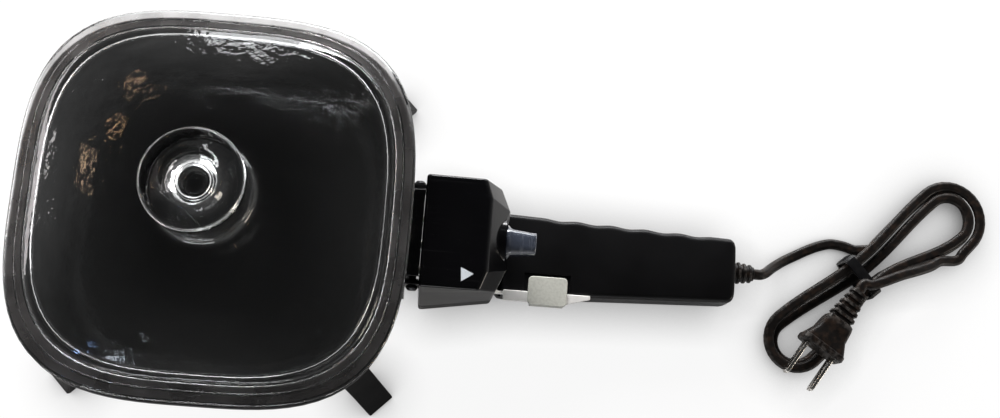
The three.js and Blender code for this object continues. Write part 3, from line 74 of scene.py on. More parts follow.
# Places read from the frame, in metres
PAN_LOW, PAN_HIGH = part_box("pan")
LID_LOW, LID_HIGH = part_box("lid")
HEAD_LOW, HEAD_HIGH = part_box("head_cover")
GRIP_LOW, GRIP_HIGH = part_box("grip_top")
TAB_LOW, TAB_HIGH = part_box("lever_tab")
BEZEL_LOW, BEZEL_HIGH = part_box("knob_bezel")
KNOB_LOW, KNOB_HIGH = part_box("control_knob")
RELIEF_LOW, RELIEF_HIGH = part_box("strain_relief")
PAN_X = (PAN_LOW.x + PAN_HIGH.x) / 2
LID_CENTRE = ((LID_LOW.x + LID_HIGH.x) / 2, (LID_LOW.y + LID_HIGH.y) / 2)
RIM_TOP = PAN_HIGH.z
KNOB_AXIS_Z = (KNOB_LOW.z + KNOB_HIGH.z) / 2

# Shares and counts that several pieces use
TURNED_SIDES = 96
ROUND_SIDES = 40
CORNER_STEPS = 6
EASE_STEPS = 3
EDGE_STEPS = 5
POLE_SHARE = 0.002  # a turned skin's first and last ring, as a share of its width
SMOOTH_ANGLE = math.radians(38)
SHARP_ANGLE = math.radians(30)
FLAT_ANGLE = math.radians(1)  # faces that turn less than this are one face
ROUND_ANGLE = math.radians(50)  # small moulded pieces are smooth up to this turn
LID_ANGLE = math.radians(60)
CORD_ANGLE = math.radians(70)
SOFT_SEGMENTS = 2
ROUND_SEGMENTS = 3
MERGE_DISTANCE = 0.00001
OVERRUN = 0.001  # how far a cutter runs past the face that it cuts
SEAT_GAP = 0.0003
FLOOR_LIFT = 0.92  # share of plain white in the floor that the camera sees
PAINTED_SHADE_REACH = 0.02  # a piece that stands this near darkens the lifted white with painted shade
GLASS_IOR = 1.5
ROUGHNESS_CHANGE = 0.06
COARSE_SCALE = 0.2  # scale of the mould's coarse grain, as a share of the fine grain's
COARSE_SHARE = 0.5  # height of the coarse grain, as a share of the fine grain's
MIX_SOCKETS = {"RGBA": (6, 7, 2), "FLOAT": (2, 3, 0)}  # a mix node's first input, second input and output
MATT_LEAST_RISE = 0.93  # a face of the flange is matt where its normal rises more than this
FINISH_SUFFIX = "_finish"  # keeps the scene's finishes apart from the frame's own materials


def length_setting(name, description, default):
    """A length in metres that the panel can change."""
    return bpy.props.FloatProperty(name=name, description=description, default=default, unit="LENGTH")


def colour_setting(name, description, default):
    """A colour that the panel can change."""
    return bpy.props.FloatVectorProperty(name=name, description=description, default=default, subtype="COLOR")


class PanSizes(bpy.types.PropertyGroup):
    """Sizes of the pan."""

    rim_half: length_setting("Rim half width", "From the centre to the rim's edge", 0.0746)
    rim_width: length_setting("Rim width", "Width of the flat rim", 0.0046)
    rim_thickness: length_setting("Rim thickness", "Height of the rim's edge", 0.0035)
    wall_foot_half: length_setting("Wall foot half width", "Half width where the wall meets the base", 0.066)
    wall_foot_height: length_setting("Wall foot height", "Height of the wall's foot above the table", 0.036)
    base_half: length_setting("Base half width", "Half width of the flat base", 0.058)
    base_height: length_setting("Base height", "Height of the base above the table", 0.024)
    base_thickness: length_setting("Base thickness", "Thickness of the pan's floor", 0.0045)
    wall_thickness: length_setting("Wall thickness", "Thickness of the pan's wall", 0.003)
    squareness: bpy.props.FloatProperty(
        name="Squareness",
        description="Exponent of the outline: 2 is round, more is squarer",
        default=3.25,
        min=2,
    )


class LidSizes(bpy.types.PropertyGroup):
    """Sizes of the glass lid and its hollow knob."""

    half: length_setting("Half width", "From the centre to the flange's edge", 0.0756)
    glass: length_setting("Glass", "Thickness of the glass", 0.004)
    flange_width: length_setting("Flange width", "Width of the outer band", 0.0046)
    band_width: length_setting("Band width", "Width of the second band", 0.0045)
    dome_rise: length_setting("Dome rise", "From the bands to the foot of the knob", 0.0146)
    knob_radius: length_setting("Knob radius", "Widest radius of the knob", 0.0187)
    knob_neck_radius: length_setting("Knob neck radius", "Radius of the knob's waist", 0.0156)
    knob_foot_radius: length_setting("Knob foot radius", "Radius where the knob leaves the dome", 0.0203)
    knob_height: length_setting("Knob height", "From the knob's foot to its top", 0.0245)
    dish_radius: length_setting("Dish radius", "Radius of the dish in the knob's top", 0.0104)
    bore_radius: length_setting("Bore radius", "Radius of the hollow inside the knob", 0.0075)


class HandleSizes(bpy.types.PropertyGroup):
    """Sizes of the handle's head, its grip and the control knob."""

    head_edge: length_setting("Head edge", "Radius of the head's top edge", 0.0013)
    head_corner: length_setting("Head corner", "Radius of the head's upright corners", 0.0016)
    head_wall: length_setting("Head wall", "Wall thickness of the head", 0.0022)
    recess_radius: length_setting("Recess radius", "Radius of the round recess for the control knob", 0.0088)
    grip_edge: length_setting("Grip edge", "Radius of the grip's top edges", 0.0024)
    grip_crown: length_setting("Grip crown", "How far the grip's top bulges", 0.00045)
    finger_depth: length_setting("Finger depth", "Depth of the finger hollows along the far edge", 0.0007)
    finger_count: bpy.props.IntProperty(name="Finger count", description="Finger hollows", default=5, min=1)
    knob_flute: length_setting("Knob flute", "How far the control knob's sides are hollowed", 0.0006)


class CordSizes(bpy.types.PropertyGroup):
    """Sizes of the flat two-core cord and its plug."""

    width: length_setting("Cord width", "Width across both cores", 0.0046)
    core: length_setting("Core", "Diameter of each insulated core", 0.0032)
    length: length_setting("Cord length", "From the strain relief to the plug", 0.70)
    neck_groove: length_setting("Neck groove", "Depth of the grooves in the plug's neck", 0.0008)


class FinishColours(bpy.types.PropertyGroup):
    """Colours of the finishes."""

    coating: colour_setting("Coating", "Non-stick coating of the pan", (0.004, 0.004, 0.0045))
    gloss: colour_setting("Gloss black", "Glossy plastic of the head", (0.0015, 0.0015, 0.002))
    satin: colour_setting("Satin black", "Satin plastic of grip and legs", (0.003, 0.003, 0.0034))
    smoke: colour_setting("Smoke", "Smoked plastic of the control knob", (0.05, 0.06, 0.085))
    steel: colour_setting("Steel", "Bare steel", (0.56, 0.56, 0.57))
    plating: colour_setting("Plating", "Plating of the lever", (0.92, 0.91, 0.88))
    blackened: colour_setting("Blackened steel", "Bracket, screws and catch studs", (0.02, 0.02, 0.021))
    tab: colour_setting("Tab", "Painted finger tab", (0.47, 0.475, 0.43))
    brass: colour_setting("Brass", "Sockets and contact", (0.62, 0.44, 0.18))
    blades: colour_setting("Blades", "Plated blades of the plug", (0.68, 0.66, 0.62))
    ceramic: colour_setting("Ceramic", "Insulators and spacers", (0.72, 0.68, 0.58))
    phenolic: colour_setting("Phenolic", "Terminal block", (0.045, 0.022, 0.012))
    rubber: colour_setting("Cord sheath", "Sheath of the cord and its plug", (0.0055, 0.0046, 0.0042))
    wire: colour_setting("Wire", "Sleeves of the inner wires", (0.12, 0.12, 0.125))
    glass: colour_setting("Glass", "Clear glass of the lid", (0.97, 0.985, 0.985))
    glass_shown: colour_setting("Glass in the viewport", "The lid's plain colour", (0.9, 0.93, 0.93))
    matt_glass: colour_setting("Matt glass", "The bands of the lid's flange", (0.53, 0.51, 0.51))
    ink: colour_setting("Ink", "Printed triangle", (0.58, 0.62, 0.66))
    floor: colour_setting("Floor", "Pale floor", (0.93, 0.93, 0.93))


class StudioSettings(bpy.types.PropertyGroup):
    """Camera and lamps."""

    camera_place: bpy.props.FloatVectorProperty(
        name="Camera place", description="Where the camera stands", subtype="XYZ", unit="LENGTH",
        default=(0.01126, -0.07825, 0.52455),
    )
    camera_turn: bpy.props.FloatVectorProperty(
        name="Camera turn", description="How the camera is turned", subtype="EULER", unit="ROTATION",
        default=(math.radians(10.6), math.radians(-3.773), math.radians(4.09)),
    )
    lens: bpy.props.FloatProperty(
        name="Lens", description="Focal length in millimetres on a sensor 36 wide", default=43.2
    )
    lamp_power: bpy.props.FloatProperty(
        name="Lamp power", description="Power that each lamp has its share of", default=6.0, unit="POWER"
    )
    sky_strength: bpy.props.FloatProperty(
        name="Sky strength", description="Brightness of the world at the horizon", default=0.8
    )


# Selecting, finishing and joining pieces


def select_only(*pieces):
    """Leaves just these pieces selected, the first one active."""
    if bpy.context.mode != "OBJECT":
        bpy.ops.object.mode_set(mode="OBJECT")
    bpy.ops.object.select_all(action="DESELECT")
    for piece in pieces:
        piece.select_set(True)
    if pieces:
        bpy.context.view_layer.objects.active = pieces[0]


def settle(piece, name, body, slot, *nodes, finish=None, angle=SMOOTH_ANGLE):
    """Smooths a piece, gives it a finish, and hangs it on its body in place of the frame's nodes."""
    select_only(piece)
    piece.name = name
    piece.data.name = name
    bpy.ops.object.transform_apply(location=True, rotation=True, scale=True)
    if angle is not None:
        bpy.ops.object.shade_smooth_by_angle(angle=angle)
    piece.data.materials.clear()
    piece.data.materials.append(finish_named(finish or slot))
    if nodes:
        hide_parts(*nodes)
    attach(piece, body)
    return piece


def place_ring(piece, ring):
    """Moves the selected points to their places in the ring."""
    mesh = bmesh.from_edit_mesh(piece.data)
    order = mesh.verts.layers.int["order"]
    for vert in mesh.verts:
        if vert.select:
            vert.co = ring[vert[order]]
    bmesh.update_edit_mesh(piece.data)


def lofted(rings):
    """A closed skin through rings of points: a filled circle extruded from ring to ring."""
    select_only()
    bpy.ops.mesh.primitive_circle_add(vertices=len(rings[0]), fill_type="NGON")
    piece = bpy.context.object
    order = piece.data.attributes.new("order", "INT", "POINT")
    order.data.foreach_set("value", list(range(len(rings[0]))))
    bpy.ops.object.mode_set(mode="EDIT")
    bpy.ops.mesh.select_mode(type="FACE")
    bpy.ops.mesh.select_all(action="SELECT")
    place_ring(piece, rings[0])
    for ring in rings[1:]:
        bpy.ops.mesh.extrude_region_move()
        place_ring(piece, ring)
    bpy.ops.mesh.select_all(action="SELECT")
    bpy.ops.mesh.normals_make_consistent(inside=False)
    bpy.ops.object.mode_set(mode="OBJECT")
    piece.data.attributes.remove(piece.data.attributes["order"])
    return piece


def with_modifier(piece, kind, **settings):
    """Adds a modifier with its settings and applies it."""
    select_only(piece)
    modifier = piece.modifiers.new(kind.lower(), kind)
    for name, value in settings.items():
        setattr(modifier, name, value)
    bpy.ops.object.modifier_apply(modifier=modifier.name)
    return piece


def carve(piece, *cutters, operation="DIFFERENCE"):
    """Cuts the cutters out of the piece, or joins them to it, and removes them."""
    for cutter in cutters:
        with_modifier(piece, "BOOLEAN", object=cutter, operation=operation, solver="EXACT")
        bpy.data.objects.remove(cutter)
    return piece


def block(low, high):
    """A box from its lowest to its highest corner."""
    select_only()
    middle = [(a + b) / 2 for a, b in zip(low, high)]
    spans = [b - a for a, b in zip(low, high)]
    bpy.ops.mesh.primitive_cube_add(size=1, location=middle, scale=spans)
    bpy.ops.object.transform_apply(location=True, rotation=True, scale=True)
    return bpy.context.object


def disc_along_x(span, radius, centre):
    """A round bar along X, over the span, round a centre given as (y, z)."""
    return lofted([round_ring(x, radius, centre) for x in span])


def round_ring(x, radius, centre):
    """A circle of points in the plane at x, round a centre given as (y, z)."""
    turns = [2 * math.pi * k / ROUND_SIDES for k in range(ROUND_SIDES)]
    return [(x, centre[0] + radius * math.cos(t), centre[1] + radius * math.sin(t)) for t in turns]


def soft_copy(node, width, segments=SOFT_SEGMENTS):
    """A copy of a frame piece, merged into one skin, with its edges rounded off."""
    source = frame["nodes"][node]
    piece = bpy.data.objects.new(node, source.data.copy())
    bpy.context.scene.collection.objects.link(piece)
    select_only(piece)
    bpy.ops.object.mode_set(mode="EDIT")
    bpy.ops.mesh.select_all(action="SELECT")
    bpy.ops.mesh.remove_doubles(threshold=MERGE_DISTANCE)
    bpy.ops.mesh.dissolve_limited(angle_limit=FLAT_ANGLE)
    bpy.ops.object.mode_set(mode="OBJECT")
    if width > 0:
        edges = {"limit_method": "ANGLE", "angle_limit": SHARP_ANGLE}
        with_modifier(piece, "BEVEL", width=width, segments=segments, **edges)
    return piece


def softened(node, name, width, slot, finish=None, segments=SOFT_SEGMENTS):
    """A soft copy of a frame piece, which then stands for it."""
    piece = soft_copy(node, width, segments)
    return settle(piece, name, frame["nodes"][node]["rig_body"], slot, node, finish=finish)


def eased(rows, steps=EASE_STEPS):
    """The rows of numbers with smooth steps in between."""
    smooth = []
    for i in range(len(rows) - 1):
        before, after = rows[max(i - 1, 0)], rows[min(i + 2, len(rows) - 1)]
        fours = list(zip(before, rows[i], rows[i + 1], after))
        smooth.extend(tuple(held_curve(*four, step / steps) for four in fours) for step in range(steps))
    smooth.append(tuple(rows[-1]))
    return smooth


def held_slope(before, here, after):
    """A slope at the middle number that keeps a smooth line from running past it."""
    if (here - before) * (after - here) <= 0:
        return 0.0
    least = min(abs(after - before) / 2, 3 * abs(here - before), 3 * abs(after - here))
    return math.copysign(least, after - before)


def held_curve(a, b, c, d, share):
    """One number between b and c on a smooth line that stays between them."""
    return hermite(b, c, held_slope(a, b, c), held_slope(b, c, d), share)


def hermite(b, c, slope_b, slope_c, share):
    """One number between b and c on the cubic with these two slopes."""
    square, cube = share**2, share**3
    start, end = 2 * cube - 3 * square + 1, 3 * square - 2 * cube
    return start * b + (cube - 2 * square + share) * slope_b + end * c + (cube - square) * slope_c


def square_ring(half, height, exponent, centre):
    """A ring of points at a height, between a circle and a square by its exponent."""
    ring = []
    for k in range(TURNED_SIDES):
        turn = 2 * math.pi * k / TURNED_SIDES
        c, s = math.cos(turn), math.sin(turn)
        reach = half / (abs(c) ** exponent + abs(s) ** exponent) ** (1 / exponent)
        ring.append((centre[0] + reach * c, centre[1] + reach * s, height))
    return ring


def square_turned(rows, centre):
    """A closed skin turned about an upright axis from rows of (half width, height, exponent)."""
    return lofted([square_ring(half, height, exponent, centre) for half, height, exponent in rows])


def rounded_polygon(corners, radius):
    """The polygon's corners rounded off, with the same number of points at each."""
    outline = []
    for i, corner in enumerate(corners):
        here = Vector(corner)
        before = (Vector(corners[i - 1]) - here).normalized()
        after = (Vector(corners[(i + 1) % len(corners)]) - here).normalized()
        half = before.angle(after) / 2
        start = here + before * (radius / math.tan(half))
        end = here + after * (radius / math.tan(half))
        for step in range(CORNER_STEPS + 1):
            share = step / CORNER_STEPS
            point = start * (1 - share) ** 2 + here * (2 * share * (1 - share)) + end * share**2
            outline.append((point.x, point.y))
    return outline


def mix(low, high, share):
    """The value a share of the way from low to high."""
    return low + (high - low) * share


def rectangle(low, high):
    """A rectangle's corners in turn, from its lowest and its highest one."""
    return [(low[0], low[1]), (high[0], low[1]), (high[0], high[1]), (low[0], high[1])]


def quarter():
    """The sine and cosine of each step of a quarter turn."""
    turns = [math.pi / 2 * k / EDGE_STEPS for k in range(EDGE_STEPS + 1)]
    return [(math.sin(turn), math.cos(turn)) for turn in turns]


# Shader effects that several finishes share


def feed(tree, source, socket):
    """Links a socket to its source, or sets it to a plain value."""
    if isinstance(source, bpy.types.NodeSocket):
        tree.links.new(source, socket)
    else:
        socket.default_value = source


def socket_kind(label):
    """What is called Color is a colour; all else is a number."""
    return "NodeSocketColor" if label == "Color" else "NodeSocketFloat"


def new_group(name, inputs, outputs):
    """An empty node group with its inputs and their values, and its outputs."""
    group = bpy.data.node_groups.new(name, "ShaderNodeTree")
    for label, value in inputs.items():
        socket = group.interface.new_socket(label, in_out="INPUT", socket_type=socket_kind(label))
        socket.default_value = value
    for label in outputs:
        group.interface.new_socket(label, in_out="OUTPUT", socket_type=socket_kind(label))
    return group, group.nodes.new("NodeGroupInput"), group.nodes.new("NodeGroupOutput")


def add_node(tree, kind, **values):
    """A node with its settings, and its inputs by name."""
    node = tree.nodes.new(kind)
    for name, value in values.items():
        if hasattr(node, name):
            setattr(node, name, value)
        else:
            node.inputs[name.replace("_", " ")].default_value = value
    return node


def maths(tree, operation, *operands):
    """A maths node; each operand is a socket or a number."""
    node = add_node(tree, "ShaderNodeMath", operation=operation)
    for socket, operand in zip(node.inputs, operands):
        feed(tree, operand, socket)
    return node.outputs["Value"]


def mixed(tree, kind, mask, first, second):
    """The first value where the mask is 0, the second where it is 1."""
    layer = add_node(tree, "ShaderNodeMix", data_type=kind)
    start, end, result = MIX_SOCKETS[kind]
    feed(tree, mask, layer.inputs["Factor"])
    feed(tree, first, layer.inputs[start])
    feed(tree, second, layer.inputs[end])
    return layer.outputs[result]


def noise(tree, scale, detail=3.0, roughness=0.5, stretch=None):
    """Noise over the piece's own space; a stretch of (x, y, z) draws it out."""
    place = tree.nodes.new("ShaderNodeTexCoord").outputs["Object"]
    if stretch is not None:
        mapping = add_node(tree, "ShaderNodeMapping", Scale=stretch)
        tree.links.new(place, mapping.inputs["Vector"])
        place = mapping.outputs["Vector"]
    node = add_node(tree, "ShaderNodeTexNoise", Detail=detail, Roughness=roughness)
    tree.links.new(place, node.inputs["Vector"])
    feed(tree, scale, node.inputs["Scale"])
    return node.outputs["Fac"]


def ranged(tree, value, low, high, start=0.3, end=0.7):
    """Brings a value from start..end to low..high, held at both ends."""
    node = add_node(tree, "ShaderNodeMapRange", From_Min=start, From_Max=end)
    for label, source in (("Value", value), ("To Min", low), ("To Max", high)):
        feed(tree, source, node.inputs[label])
    return node.outputs["Result"]


def build_mottle_group():
    """Slow drifts of colour and roughness, as on any moulded or coated surface."""
    inputs = {"Color": (0.5, 0.5, 0.5, 1.0), "Scale": 60.0, "Change": 0.2, "Roughness": 0.4}
    group, start, end = new_group("mottle", inputs, ["Color", "Roughness"])
    centred = ranged(group, noise(group, start.outputs["Scale"], detail=4.0), -1.0, 1.0)
    tinted = add_node(group, "ShaderNodeVectorMath", operation="SCALE")
    feed(group, start.outputs["Color"], tinted.inputs[0])
    feed(group, maths(group, "MULTIPLY_ADD", centred, start.outputs["Change"], 1.0), tinted.inputs["Scale"])
    feed(group, tinted.outputs["Vector"], end.inputs["Color"])
    rough = maths(group, "MULTIPLY", centred, ROUGHNESS_CHANGE)
    feed(group, maths(group, "ADD", rough, start.outputs["Roughness"]), end.inputs["Roughness"])


def build_grain_group():
    """The fine raised grain of a spark-eroded mould, as a height."""
    group, start, end = new_group("moulded_grain", {"Scale": 2500.0}, ["Height"])
    fine = noise(group, start.outputs["Scale"], detail=2.0)
    coarse = noise(group, maths(group, "MULTIPLY", start.outputs["Scale"], COARSE_SCALE), detail=2.0)
    both = maths(group, "ADD", fine, maths(group, "MULTIPLY", coarse, COARSE_SHARE))
    feed(group, both, end.inputs["Height"])


def build_dust_group():
    """Specks and a thin film of dust on what faces up, as a mask."""
    group, start, end = new_group("dust", {"Scale": 900.0, "Specks": 0.5, "Film": 0.03}, ["Mask"])
    facing = add_node(group, "ShaderNodeSeparateXYZ")
    feed(group, group.nodes.new("ShaderNodeNewGeometry").outputs["Normal"], facing.inputs["Vector"])
    upward = ranged(group, facing.outputs["Z"], 0.0, 1.0, start=0.5, end=0.95)
    grains = noise(group, start.outputs["Scale"], detail=2.0)
    speck = ranged(group, grains, 0.0, start.outputs["Specks"], start=0.75, end=0.80)
    film = maths(group, "MULTIPLY", noise(group, scale=35.0, detail=4.0), start.outputs["Film"])
    feed(group, maths(group, "MULTIPLY", maths(group, "ADD", speck, film), upward), end.inputs["Mask"])


def build_brushed_group():
    """Long fine scratches along X, as a height."""
    group, start, end = new_group("brushed", {"Scale": 1.0}, ["Height"])
    lines = noise(group, start.outputs["Scale"], detail=5.0, stretch=(60.0, 2600.0, 2600.0))
    feed(group, lines, end.inputs["Height"])


def build_wear_group():
    """Wear along raised edges, broken up by noise, as a mask."""
    group, start, end = new_group("edge_wear", {"Scale": 500.0, "Amount": 0.5}, ["Mask"])
    bulge = group.nodes.new("ShaderNodeNewGeometry").outputs["Pointiness"]
    edge = ranged(group, bulge, 0.0, 1.0, start=0.52, end=0.62)
    broken = ranged(group, noise(group, start.outputs["Scale"], detail=5.0), 0.0, 1.0, start=0.45, end=0.62)
    worn = maths(group, "MULTIPLY", edge, broken)
    feed(group, maths(group, "MULTIPLY", worn, start.outputs["Amount"]), end.inputs["Mask"])


EFFECT_MAKERS = (
    build_mottle_group, build_grain_group, build_dust_group, build_brushed_group, build_wear_group,
)


def group_node(tree, name, **values):
    """A shared effect placed in a material, with its own values."""
    node = tree.nodes.new("ShaderNodeGroup")
    node.node_tree = bpy.data.node_groups[name]
    for label, value in values.items():
        node.inputs[label.replace("_", " ")].default_value = value
    return node


def new_finish(name, colour, roughness, *, change, mottle_scale, metallic=0.0, **plain):
    """A material whose colour and roughness drift; plain sets the shader's own sockets."""
    finish = bpy.data.materials.new(name + FINISH_SUFFIX)
    finish.use_nodes = True
    finish.diffuse_color = (*colour, 1.0)
    tree = finish.node_tree
    shader = tree.nodes["Principled BSDF"]
    shader.inputs["Metallic"].default_value = metallic
    for label, value in plain.items():
        shader.inputs[label.replace("_", " ")].default_value = value
    drift = group_node(tree, "mottle", Scale=mottle_scale, Change=change, Roughness=roughness)
    drift.inputs["Color"].default_value = (*colour, 1.0)
    tree.links.new(drift.outputs["Color"], shader.inputs["Base Color"])
    tree.links.new(drift.outputs["Roughness"], shader.inputs["Roughness"])
    return finish


def add_bump(finish, height, strength, distance):
    """Feeds a height into the finish's normal."""
    tree = finish.node_tree
    bump = add_node(tree, "ShaderNodeBump", Strength=strength, Distance=distance)
    tree.links.new(height, bump.inputs["Height"])
    tree.links.new(bump.outputs["Normal"], tree.nodes["Principled BSDF"].inputs["Normal"])


def mix_over(finish, mask, colour, roughness=None):
    """Lays a second colour, and a roughness, over the finish where the mask is."""
    tree = finish.node_tree
    shader = tree.nodes["Principled BSDF"]
    layers = [("Base Color", "RGBA", (*colour, 1.0))]
    if roughness is not None:
        layers.append(("Roughness", "FLOAT", roughness))
    for label, kind, value in layers:
        below = shader.inputs[label].links[0].from_socket
        tree.links.new(mixed(tree, kind, mask, below, value), shader.inputs[label])


# Finishes


def patches(finish, colour, roughness=None, *, scale, detail, most, start, end, stretch=None):
    """Lays a second colour over the finish in patches of noise, where it hides at most this share."""
    tree = finish.node_tree
    mask = ranged(tree, noise(tree, scale, detail=detail, stretch=stretch), 0.0, most, start, end)
    mix_over(finish, mask, colour, roughness)


def masked(finish, effect, colour, roughness, **values):
    """Lays a second colour over the finish where a shared effect's mask is."""
    mask = group_node(finish.node_tree, effect, **values).outputs["Mask"]
    mix_over(finish, mask, colour, roughness)


def raised(finish, effect, strength, distance, **values):
    """Feeds a shared effect's height into the finish's normal."""
    height = group_node(finish.node_tree, effect, **values).outputs["Height"]
    add_bump(finish, height, strength, distance)


def waved(finish, strength, distance, **noise_values):
    """Feeds plain noise into the finish's normal."""
    add_bump(finish, noise(finish.node_tree, **noise_values), strength, distance)


def coating_finish(colours):
    """Non-stick coating: a fine speckle over cast metal, a little dusty."""
    finish = new_finish(
        "coating", colours.coating, 0.38, change=0.25, mottle_scale=45.0, Specular_IOR_Level=0.35
    )
    patches(finish, (0.03, 0.03, 0.032), scale=1800.0, detail=1.0, most=0.22, start=0.66, end=0.72)
    masked(finish, "dust", (0.35, 0.33, 0.3), 0.8, Scale=1600.0, Specks=0.05, Film=0.004)
    raised(finish, "moulded_grain", strength=0.25, distance=0.0002, Scale=900.0)


def glass_finish(colours):
    """Clear pressed glass, with smears and the slow waves that pressing leaves."""
    finish = bpy.data.materials.new("lid_glass" + FINISH_SUFFIX)
    finish.use_nodes = True
    finish.diffuse_color = (*colours.glass_shown, 0.3)
    tree = finish.node_tree
    shader = tree.nodes["Principled BSDF"]
    shader.inputs["Base Color"].default_value = (*colours.glass, 1.0)
    shader.inputs["Transmission Weight"].default_value = 1.0
    shader.inputs["IOR"].default_value = GLASS_IOR
    smears = noise(tree, 55.0, detail=6.0, roughness=0.65)
    tree.links.new(ranged(tree, smears, 0.005, 0.06, start=0.42, end=0.78), shader.inputs["Roughness"])
    waved(finish, strength=0.6, distance=0.0011, scale=46.0, detail=5.0, roughness=0.55)


def matt_glass_finish(colours):
    """The flange's bands, left matt from the mould, so that they catch the light."""
    finish = new_finish(
        "matt_glass", colours.matt_glass, 0.28, change=0.4, mottle_scale=70.0,
        Transmission_Weight=0.94, IOR=GLASS_IOR,
    )
    waved(finish, strength=0.35, distance=0.0008, scale=60.0, detail=4.0)


def gloss_finish(colours):
    """Glossy black moulded plastic, with hairline scratches and specks of dust."""
    finish = new_finish(
        "black_gloss", colours.gloss, 0.16, change=0.2, mottle_scale=30.0, Specular_IOR_Level=0.28
    )
    tree = finish.node_tree
    scratches = group_node(tree, "brushed", Scale=0.35).outputs["Height"]
    mix_over(finish, ranged(tree, scratches, 0.0, 0.3, start=0.60, end=0.75), (0.012, 0.012, 0.013), 0.3)
    masked(finish, "dust", (0.42, 0.4, 0.37), 0.85, Scale=2400.0, Specks=0.10, Film=0.003)
    waved(finish, strength=0.12, distance=0.0004, scale=90.0, detail=2.0)


def satin_finish(colours):
    """Satin black plastic with a moulded grain, polished along its edges by use."""
    finish = new_finish(
        "black_satin", colours.satin, 0.36, change=0.25, mottle_scale=40.0, Specular_IOR_Level=0.22
    )
    masked(finish, "edge_wear", (0.03, 0.03, 0.031), 0.25, Scale=350.0, Amount=0.45)
    masked(finish, "dust", (0.4, 0.38, 0.35), 0.85, Scale=2200.0, Specks=0.10, Film=0.004)
    raised(finish, "moulded_grain", strength=0.22, distance=0.00012, Scale=2200.0)


def matt_finish(colours):
    """Matt black heat-proof plastic with a coarse grain."""
    finish = new_finish(
        "matt_black", colours.satin, 0.6, change=0.3, mottle_scale=50.0, Specular_IOR_Level=0.12
    )
    masked(finish, "edge_wear", (0.03, 0.03, 0.03), 0.4, Scale=400.0, Amount=0.4)
    raised(finish, "moulded_grain", strength=0.3, distance=0.00015, Scale=1500.0)


def smoke_finish(colours):
    """Smoked translucent plastic, scuffed by the fingers that turn it."""
    finish = new_finish(
        "smoke", colours.smoke, 0.10, change=0.3, mottle_scale=90.0,
        Transmission_Weight=0.25, IOR=1.55, Coat_Weight=1.0,
    )
    scuffs = dict(scale=600.0, detail=5.0, most=0.35, start=0.58, end=0.75, stretch=(1.0, 0.2, 1.0))
    patches(finish, (0.3, 0.32, 0.35), 0.4, **scuffs)
    waved(finish, strength=0.15, distance=0.0003, scale=160.0, detail=2.0)


def steel_finish(colours):
    """Brushed steel with faint stains."""
    finish = new_finish("steel", colours.steel, 0.32, metallic=1.0, change=0.15, mottle_scale=120.0)
    patches(finish, (0.30, 0.27, 0.23), 0.5, scale=260.0, detail=6.0, most=0.35, start=0.55, end=0.75)
    raised(finish, "brushed", strength=0.15, distance=0.00008)


def plated_finish(colours):
    """Pale zinc plating on the lever, with faint stains."""
    finish = new_finish("plating", colours.plating, 0.42, metallic=0.35, change=0.06, mottle_scale=140.0)
    patches(finish, (0.42, 0.4, 0.36), 0.55, scale=300.0, detail=6.0, most=0.3, start=0.58, end=0.8)
    raised(finish, "brushed", strength=0.12, distance=0.00006)


def blackened_finish(colours):
    """Blackened steel, rubbed bare along its edges."""
    finish = new_finish("blackened", colours.blackened, 0.3, metallic=0.8, change=0.2, mottle_scale=150.0)
    masked(finish, "edge_wear", (0.25, 0.25, 0.26), 0.25, Scale=600.0, Amount=0.35)
    waved(finish, strength=0.12, distance=0.00008, scale=700.0, detail=4.0)


def tab_finish(colours):
    """Satin silver-grey paint on pressed metal, grimy, and chipped along its edges."""
    finish = new_finish("tab_steel", colours.tab, 0.42, change=0.04, mottle_scale=150.0)
    masked(finish, "edge_wear", (0.25, 0.24, 0.22), 0.3, Scale=900.0, Amount=0.7)
    patches(finish, (0.22, 0.2, 0.17), 0.6, scale=420.0, detail=6.0, most=0.03, start=0.6, end=0.8)
    raised(finish, "moulded_grain", strength=0.15, distance=0.0001, Scale=1800.0)


def brass_finish(colours):
    """Brass dulled by handling."""
    finish = new_finish("brass", colours.brass, 0.3, metallic=1.0, change=0.2, mottle_scale=300.0)
    patches(finish, (0.2, 0.13, 0.06), 0.55, scale=500.0, detail=6.0, most=0.6, start=0.5, end=0.75)
    raised(finish, "brushed", strength=0.12, distance=0.00006, Scale=1.2)


def blade_finish(colours):
    """Plated blades, scratched from being pushed in and out."""
    finish = new_finish("blades", colours.blades, 0.22, metallic=1.0, change=0.12, mottle_scale=250.0)
    patches(finish, (0.42, 0.37, 0.3), 0.45, scale=900.0, detail=5.0, most=0.5, start=0.52, end=0.72)
    waved(finish, strength=0.15, distance=0.00006, scale=1500.0)


def ceramic_finish(colours):
    """Unglazed ceramic, with small pits."""
    finish = new_finish("ceramic", colours.ceramic, 0.7, change=0.12, mottle_scale=400.0)
    patches(finish, (0.4, 0.34, 0.26), 0.9, scale=1500.0, detail=3.0, most=0.5, start=0.62, end=0.72)
    raised(finish, "moulded_grain", strength=0.3, distance=0.0001, Scale=1400.0)


def phenolic_finish(colours):
    """Brown moulded phenolic with its fibre flecks."""
    finish = new_finish("phenolic", colours.phenolic, 0.45, change=0.3, mottle_scale=250.0)
    flecks = dict(scale=800.0, detail=4.0, most=0.6, start=0.6, end=0.75, stretch=(1.0, 4.0, 1.0))
    patches(finish, (0.12, 0.07, 0.045), 0.6, **flecks)
    raised(finish, "moulded_grain", strength=0.2, distance=0.0001, Scale=1200.0)


